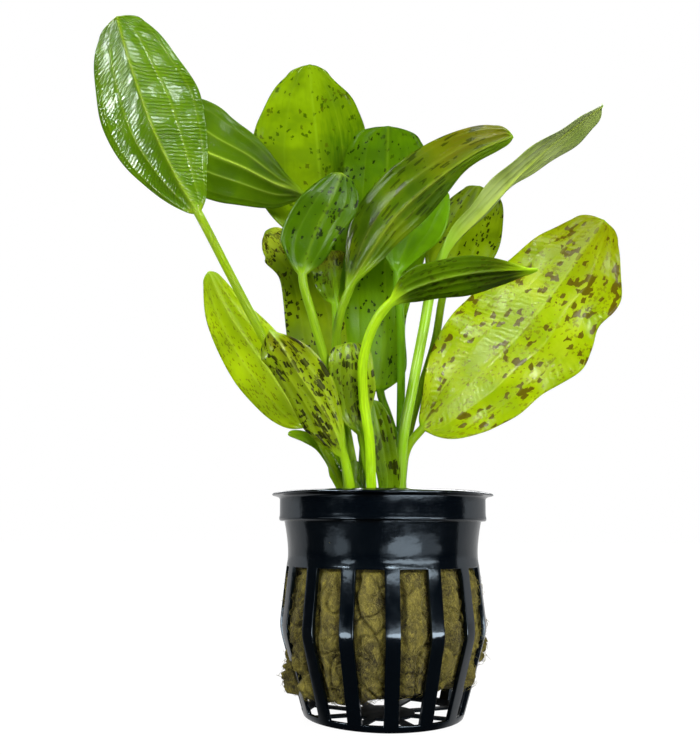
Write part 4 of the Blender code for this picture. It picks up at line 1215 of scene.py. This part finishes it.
def flecks(tree, place, seed, colour_under, parts, **changes):
    """Colour some stretched cells. Gives the new colour."""
    spec = {**PLAIN_FLECKS, **changes}
    grid = node(tree, "ShaderNodeMapping", {
        "Vector": place, "Location": (seed * 1.7, seed * 0.9, 0.0),
        "Rotation": (0, 0, math.radians(spec["turn"])), "Scale": (1 / spec["wide"], 1 / spec["long"], 1.0)})
    wander = node(tree, "ShaderNodeTexNoise", {"Vector": grid, "Scale": 1.6}, noise_dimensions="2D")
    push = node(tree, "ShaderNodeVectorMath", {0: wander.outputs["Color"], 1: (0.5, 0.5, 0.5)},
                operation="SUBTRACT")
    pushed = node(tree, "ShaderNodeVectorMath", {0: push, 1: (spec["bent"],) * 3, 2: grid},
                  operation="MULTIPLY_ADD")
    cells = node(tree, "ShaderNodeTexVoronoi", {"Vector": pushed, "Scale": 1.0, "Randomness": 0.9},
                 voronoi_dimensions="2D", feature="F1", distance="CHEBYCHEV")
    pick = node(tree, "ShaderNodeSeparateColor", {0: cells.outputs["Color"]})
    crowd = node(tree, "ShaderNodeTexNoise", {"Vector": place, "Scale": 1 / spec["crowd_mm"]},
                 noise_dimensions="2D")
    chance = node(tree, "ShaderNodeMapRange", {
        "Value": crowd, "From Min": spec["crowd_low"], "From Max": spec["crowd_high"],
        "To Min": spec["share"] * 0.12, "To Max": spec["share"] * 2.0})
    first, last = spec["from_to"]
    zones = [("along", first - ZONE_SOFT, first + ZONE_SOFT), ("along", last + ZONE_SOFT, last - ZONE_SOFT)]
    if "side" in spec:
        zones.append(("across", *spec["side"]))
    for part, low, high in zones:
        zone = node(tree, "ShaderNodeMapRange", {"Value": parts[part], "From Min": low, "From Max": high},
                    interpolation_type="SMOOTHSTEP")
        chance = node(tree, "ShaderNodeMath", {0: chance, 1: zone}, operation="MULTIPLY")
    amount = node(tree, "ShaderNodeMath", {0: pick.outputs[0], 1: chance}, operation="LESS_THAN")
    size = node(tree, "ShaderNodeMapRange", {
        "Value": pick.outputs[1], "To Min": spec["dot_low"], "To Max": spec["dot_high"]})
    rim = node(tree, "ShaderNodeMath", {0: size, 1: cells}, operation="SUBTRACT")
    soft = node(tree, "ShaderNodeMapRange", {"Value": rim, "From Min": -0.04, "From Max": spec["soft"]},
                interpolation_type="SMOOTHSTEP")
    for factor in (soft, parts["blade"], spec["strength"]):
        amount = node(tree, "ShaderNodeMath", {0: amount, 1: factor}, operation="MULTIPLY")
    return node(tree, "ShaderNodeMix", {0: amount, 6: colour_under, 7: spec["colour"]}, data_type="RGBA")


# %% [markdown]
# The relief of the skin is a fine grain and a net of cell walls, less than a tenth of a millimetre deep.
# On the glossiest leaves the water film also follows the ladder of cross veins, and its rungs catch the
# light in patches, which is what makes a wet leaf glitter.

# %% Relief of the skin
def skin_relief(tree, place, bump_mm):
    """Grain and a net of cell walls as a bump."""
    grain = node(tree, "ShaderNodeTexNoise", {
        "Vector": place, "Scale": 1 / 0.9, "Detail": 4.0, "Roughness": 0.6}, noise_dimensions="2D")
    cells = node(tree, "ShaderNodeTexVoronoi", {"Vector": place, "Scale": 1 / 0.8},
                 voronoi_dimensions="2D", feature="DISTANCE_TO_EDGE")
    net = node(tree, "ShaderNodeMapRange", {"Value": cells, "From Max": 0.12})
    relief = node(tree, "ShaderNodeMath", {0: net, 1: 0.35, 2: grain}, operation="MULTIPLY_ADD")
    return node(tree, "ShaderNodeBump", {"Strength": 0.6, "Distance": bump_mm * MM, "Height": relief})


def ladder_relief(tree, place, middle, spacing, depth, bump):
    """Slanted cross veins on both sides of the midrib, in patches, on top of a bump."""
    run = node(tree, "ShaderNodeSeparateXYZ", {0: place})
    offset = node(tree, "ShaderNodeMath", {0: run.outputs["X"], 1: middle}, operation="SUBTRACT")
    aside = node(tree, "ShaderNodeMath", {0: offset}, operation="ABSOLUTE")
    slanted = node(tree, "ShaderNodeMath", {0: aside, 1: 0.5, 2: run.outputs["Y"]}, operation="MULTIPLY_ADD")
    rungs = node(tree, "ShaderNodeCombineXYZ", {0: offset, 1: slanted})
    wave = node(tree, "ShaderNodeTexWave", {
        "Vector": rungs, "Scale": math.tau / 20 / spacing, "Distortion": 3.5, "Detail Scale": 1.4,
        "Detail Roughness": 0.6}, bands_direction="Y").outputs["Fac"]
    patches = node(tree, "ShaderNodeTexNoise", {"Vector": rungs, "Scale": 1 / 4.5, "Detail": 1.0},
                   noise_dimensions="2D")
    here = node(tree, "ShaderNodeMapRange", {
        "Value": patches, "From Min": 0.38, "From Max": 0.56, "To Min": 0.12})
    return node(tree, "ShaderNodeBump", {
        "Strength": here, "Distance": depth * MM, "Height": wave, "Normal": bump})


# %% [markdown]
# The finish puts this together. Nerves are paler than the blade. The stalk is lined with the blade's tone
# and changes colour towards its foot. Water lies on the skin as a thin coat of its own, and a share of the
# light goes through the leaf.

# %% Leaf finish
SKIN_SHARE = 0.72
WATER_IOR = 1.33
FILM_ROUGHNESS = 0.06
FOOT_UP_TO, STALK_FROM = 46 * MM, 82 * MM
SHIFT_ACROSS, SHIFT_ALONG = 3.1, 1.3


def leaf_finish(name, tones, marks=(), glow=0.42, rough=0.2, bump_mm=0.05, vein_pale=0.3, stain_and_painted_light=None,
                dapple=0.6, ladder=None, film=0.1, gloss=0.3, bright=1.0):
    """A wet leaf skin. Tones are body, deep, light, nerve, stalk and stalk foot, as hex colours. A tinted
    zone is its tone and where it starts and is full along the blade, and across it if only a side has it;
    most are real stains, one is painted shadow and one is painted light. A ladder is the spacing and depth
    of fine cross veins in millimetres, film is how much water lies on the skin, gloss is how strongly it
    mirrors, and bright scales the whole leaf's colour as painted light and shade."""
    body, deep, light, nerve_tone, stalk_tone, foot_tone = tones.split()
    mat, tree, shader, place = new_finish("leaf_skin_" + name)
    parts = {label: node(tree, "ShaderNodeAttribute", attribute_name=label).outputs["Fac"]
             for label in ("nerve", "midrib", "blade", "along", "across")}
    seed = sum(ord(letter) for letter in name) % 97
    uv = node(tree, "ShaderNodeUVMap", uv_map="leaf_mm")
    flat = node(tree, "ShaderNodeVectorMath", {0: uv, "Scale": MAP_MM}, operation="SCALE")
    moved = node(tree, "ShaderNodeVectorMath", {
        0: flat, 1: (seed * SHIFT_ACROSS, seed * SHIFT_ALONG, 0.0)}, operation="ADD")
    colour, broad, streak = blade_tones(tree, moved, parts, (body, deep, light), dapple, stain_and_painted_light)
    for number, mark in enumerate(marks):
        colour = flecks(tree, moved, seed + 11 * number, colour, parts, **mark)
    side_nerves = node(tree, "ShaderNodeMath", {0: parts["nerve"], 1: vein_pale * 0.6}, operation="MULTIPLY")
    main_nerve = node(tree, "ShaderNodeMath", {0: parts["midrib"], 1: vein_pale * 1.25}, operation="MULTIPLY")
    pale = node(tree, "ShaderNodeMath", {0: side_nerves, 1: main_nerve}, operation="MAXIMUM", use_clamp=True)
    colour = node(tree, "ShaderNodeMix", {0: pale, 6: colour, 7: nerve_tone}, data_type="RGBA")
    height = node(tree, "ShaderNodeSeparateXYZ", {0: place}).outputs["Z"]
    up = node(tree, "ShaderNodeMapRange", {"Value": height, "From Min": FOOT_UP_TO, "From Max": STALK_FROM},
              interpolation_type="SMOOTHSTEP")
    stalk = node(tree, "ShaderNodeMix", {0: up, 6: foot_tone, 7: stalk_tone}, data_type="RGBA")
    lines = node(tree, "ShaderNodeMapRange", {
        "Value": streak, "From Min": 0.35, "From Max": 0.75, "To Max": 0.45})
    stalk = node(tree, "ShaderNodeMix", {0: lines, 6: stalk, 7: body}, data_type="RGBA")
    colour = node(tree, "ShaderNodeMix", {0: parts["blade"], 6: stalk, 7: colour}, data_type="RGBA")
    bump = skin_relief(tree, moved, bump_mm)
    if ladder:
        bump = ladder_relief(tree, moved, seed * SHIFT_ACROSS, *ladder, bump)
    wet = node(tree, "ShaderNodeMapRange", {
        "Value": broad, "From Min": 0.35, "From Max": 0.65, "To Min": rough + 0.05, "To Max": rough - 0.04})
    # Painted light and shade: bright raises the colour of leaves that lie in the shade of others, and lowers it
    # a little on one.
    skin_tone = node(tree, "ShaderNodeVectorMath", {0: colour, "Scale": SKIN_SHARE * bright},
                     operation="SCALE")
    shine = node(tree, "ShaderNodeHueSaturation", {"Saturation": 1.05, "Value": 1.15, "Color": skin_tone})
    through = node(tree, "ShaderNodeBsdfTranslucent", {"Color": shine, "Normal": bump})
    feed(shader, {
        "IOR": PLANT_IOR, "Specular IOR Level": gloss, "Coat Weight": film, "Coat IOR": WATER_IOR,
        "Coat Roughness": FILM_ROUGHNESS, "Base Color": skin_tone, "Roughness": wet, "Normal": bump,
        "Coat Normal": bump})
    skin = node(tree, "ShaderNodeMixShader", {0: glow, 1: shader, 2: through})
    feed(tree.nodes["Material Output"], {"Surface": skin})
    return mat


# %% [markdown]
# The leaves differ in age and in how the light meets them, so each gets its own recipe. Young leaves are
# clear green, the broad low one on the right is a yellow green with brown blocks, and the small old ones
# in front are olive with black strokes. A recipe has two parts, the finish and the form, and names only
# what differs from a plain leaf. Flecks are sized in millimetres, across and along the nerves. A leaf that
# lies in the shade of others gets a lighter colour through bright, which is painted light.

# %% Leaf recipes
BROWN_BLOCKS = dict(colour="62500f", wide=1.3, long=2.1, share=0.17, turn=12, bent=0.35, crowd_mm=8.0,
                    dot_low=0.3, dot_high=0.95)
BROWN_SPECKS = dict(colour="7d7812", wide=0.5, long=0.8, share=0.16, crowd_mm=6.0, strength=0.6)
BLACK_STROKES = dict(colour="170f02", wide=0.72, long=2.2, share=0.3, bent=0.4, crowd_mm=5.0,
                     crowd_low=0.4, crowd_high=0.6, dot_low=0.3, dot_high=0.8)
SMALL_STROKES = dict(colour="3a3204", wide=0.4, long=1.0, share=0.13, crowd_mm=5.0, strength=0.7)
BLACK_SPECKS = dict(colour="0e1c02", wide=0.75, long=1.1, share=0.25, bent=0.6, crowd_mm=3.5, crowd_low=0.44,
                    crowd_high=0.6, dot_low=0.25, dot_high=0.65)
GREEN_SPOTS = dict(colour="3c5a02", wide=1.15, long=1.5, share=0.08, bent=0.6, crowd_mm=7.0, dot_low=0.25,
                   dot_high=0.75, strength=0.8, soft=0.14)
DARK_DASHES = dict(colour="2c3c04", wide=0.5, long=1.9, share=0.14, bent=0.4, crowd_mm=5.0, strength=0.7)

RECIPES = {
    "top_left": (
        dict(tones="6c9a0e 557c06 86b01c b2d030 b8dc14 88b010", rough=0.11, vein_pale=0.6, dapple=0.45,
             bump_mm=0.03, ladder=(1.0, 0.13), film=0.45, gloss=0.1),
        dict(fine=0.3, rungs=0.05, rung_mm=1.15, puff=0.09, wave=0.35, nerve=1.3, nerves=(0.46, 0.86),
             second=0.6)),
    "back_left": (
        dict(tones="5e8606 4a6e04 6e960e bcdc48 a4cc24 6f9410", vein_pale=0.9, dapple=0.5, gloss=0.07,
             film=0.03),
        dict(wave=0.35, nerves=(0.4, 0.8), second=0.15)),
    "back_top": (
        dict(tones="8cb008 74980a 9cc010 a4ca20 8cb41c 6f9410", dapple=0.7, gloss=0.2,
             # Painted shadow: the lower part of one half is darkened where the leaf in front shades it.
             stain_and_painted_light=("447004", 1.0, 0.5, 0.1, -0.4),
             marks=(GREEN_SPOTS, dict(GREEN_SPOTS, colour="5a6a08", share=0.04))),
        dict(nerves=(0.5, 0.85), second=0.2)),
    "small_centre": (
        dict(tones="588605 467004 6c980e 8cb828 b0dc24 94c01c", vein_pale=0.4, dapple=0.5, gloss=0.1,
             film=0.04, bright=0.92,
             marks=(dict(BLACK_SPECKS, from_to=(0.38, 1.1), side=(0.5, 0.1)), dict(BLACK_SPECKS, share=0.06))),
        dict(wave=0.6, curl=0.05, nerves=(0.5, 0.85), second=0.2)),
    "back_centre": (
        dict(tones="5a8605 456c04 6c9408 86ac18 5f8c0a 3c6408", gloss=0.07, film=0.03, bright=1.06,
             # Painted light: the lower part, which lies in the shade of the leaves in front, is made lighter.
             stain_and_painted_light=("7cac08", 0.62, 0.3),
             marks=(dict(BLACK_SPECKS, share=0.08, crowd_mm=6.0), dict(GREEN_SPOTS, from_to=(0.6, 1.1)))),
        dict(nerves=(0.5, 0.85), second=0.15)),
    "front_tall": (
        dict(tones="64880a 4a6e08 7e980e b4c83e a0cc1c 84b010", vein_pale=0.4, dapple=0.8, gloss=0.13,
             film=0.05, stain_and_painted_light=("8a8a10", 0.5, 0.85, 0.1, -0.3),
             marks=(dict(DARK_DASHES, share=0.2, long=3.2),)),
        dict(wave=0.4, nerves=(0.4, 0.8), second=0.2)),
    "mid_right": (
        dict(tones="629408 528204 78ac10 86b01c 74a814 5c8c10", vein_pale=0.22, gloss=0.08, film=0.04,
             bright=1.4),
        dict(wave=0.3, second=0.1, puff=0.08, nerve=0.6)),
    "far_right": (
        dict(tones="94a852 748c3c b0c278 a8bc40 7cac10 6c9a10", vein_pale=0.5, glow=0.0, gloss=0.08, film=0.0,
             bright=1.26, bump_mm=0.0, stain_and_painted_light=("7c9e14", 0.5, 0.1)),
        dict(fine=0.3, wave=0.3, rungs=0.02, rung_mm=1.3, stalk=1.25, taper=1.3, nerves=(0.3, 0.62),
             second=0.8)),
    "front_right": (
        dict(tones="5c8405 486804 6c9408 a0c030 bce41c b0dc18", gloss=0.13, film=0.05, bright=1.3,
             stain_and_painted_light=("44580a", 0.45, 0.85),
             marks=(dict(DARK_DASHES, strength=0.5), dict(SMALL_STROKES, share=0.16, strength=0.5))),
        dict(wave=0.3, stalk=1.1, nerve=0.8, nerves=(0.35, 0.7), second=0.3, rib_end=0.85)),
    "back_right": (
        dict(tones="8aa80a 6c8806 9cba14 a8c82c 84ac14 6a9410", rough=0.22, dapple=0.7, gloss=0.04, film=0.03,
             stain_and_painted_light=("5e7408", 0.5, 0.95), marks=(dict(BLACK_SPECKS, colour="262c04", share=0.16, long=1.6),)),
        dict(second=0.1)),
    "low_right": (
        dict(tones="aac40a 94b006 bcd024 cce04c 9cc61c 8cb814", rough=0.13, vein_pale=0.22, dapple=0.7,
             ladder=(1.7, 0.04), film=0.05, gloss=0.09, bright=1.12, stain_and_painted_light=("929a08", 0.6, 1.0),
             marks=(BROWN_SPECKS, BROWN_BLOCKS)),
        dict(fine=0.35, wave=1.0, wave_mm=17.0, rungs=0.04, rung_mm=1.7, puff=0.1, slow=0.9, nerve=0.6,
             nerves=(0.38, 0.7), second=0.5, rib=1.2,
             edge=(("right", 0.07, 0.06, -0.4), ("right", 0.25, 0.05, 0.7), ("right", 0.36, 0.045, -0.5),
             ("right", 0.49, 0.06, 1.5), ("right", 0.65, 0.05, -1.7), ("right", 0.79, 0.06, 0.8),
             ("left", 0.5, 0.25, 0.25)))),
    "low_left": (
        dict(tones="a4be0a 8ca808 b4cc18 c8dc44 a4c82c 7ca410", vein_pale=0.4, gloss=0.15, bright=1.38,
             marks=(dict(BROWN_SPECKS, colour="5a5408", share=0.36, wide=0.42, long=1.1, turn=14,
             strength=0.55, crowd_low=0.3, crowd_high=0.9, dot_low=0.2, dot_high=0.5),)),
        dict(second=0.3)),
    "front_left": (
        dict(tones="90aa0c 78920a a8c018 b8cc3c a4cc18 94c010", gloss=0.2, bright=1.3,
             stain_and_painted_light=("88860c", 0.6, 1.0, -0.6, -0.1), marks=(SMALL_STROKES, BLACK_STROKES)),
        dict(wave=0.4, second=0.3)),
    "front_centre": (
        dict(tones="84a014 6c880c 98b420 a4bc40 84ac14 749c10", vein_pale=0.25, gloss=0.15, bright=1.5,
             marks=(SMALL_STROKES, dict(BLACK_STROKES, crowd_mm=4.0))),
        dict(wave=0.4, second=0.3)),
    "olive_left": (
        dict(tones="78920a 627c08 8ca20e 9cb02c 749c10 6a9010", rough=0.22, dapple=0.5, gloss=0.04, film=0.0,
             bright=1.4, stain_and_painted_light=("b4c430", 0.8, 0.97),
             marks=(dict(BLACK_STROKES, share=0.1, wide=0.8, long=1.2),
             dict(SMALL_STROKES, from_to=(0.75, 1.2), share=0.4))),
        dict(wave=0.4, second=0.2, edge=(("left", 0.35, 0.15, 0.7), ("left", 0.88, 0.08, 0.5)))),
    "ragged_centre": (
        dict(tones="5e8008 4c6c0a 74940e 84a420 90c014 74a410", rough=0.25, vein_pale=0.2, dapple=0.8,
             gloss=0.1, bright=1.35, stain_and_painted_light=("646a0c", 0.45, 0.9),
             marks=(dict(SMALL_STROKES, share=0.4), dict(BLACK_SPECKS, share=0.16))),
        dict(wave=0.6, wave_mm=5.0)),
    "low_centre": (
        dict(tones="5c7a07 445c04 70900c 7c9c1c 5c8410 4c7410", rough=0.22, vein_pale=0.2, dapple=0.7,
             gloss=0.12, bright=1.7, marks=(BLACK_STROKES,)),
        dict(wave=0.2)),
    "short_strap": (
        dict(tones="6c960a 5a8208 84aa14 94b820 84a810 7ca010", gloss=0.15, bright=1.5),
        dict(wave=0.1, puff=0.05)),
    "cut_stalk": (
        dict(tones="7a9c14 648410 8cae24 94b42c 7ca414 6a9410", rough=0.22, vein_pale=0.2),
        dict(wave=0.0, puff=0.0, slow=0.0, rungs=0.0)),
}
print(len(RECIPES), "leaf recipes")


# %% [markdown]
# Now the leaves are grown one after another. Each stands for its node of the imported model.

# %% Grow the leaves
FIRST_SEED = 3
for seed, (name, row) in enumerate(LEAVES.items(), FIRST_SEED):
    finish, look = RECIPES[name]
    leaf = leaf_loft("blade_" + name, row, {**PLAIN_LOOK, **look}, seed, leaf_finish(name, **finish))
    node_name = name if row.get("cut") else "leaf_" + name
    finish_piece(leaf, node_name)
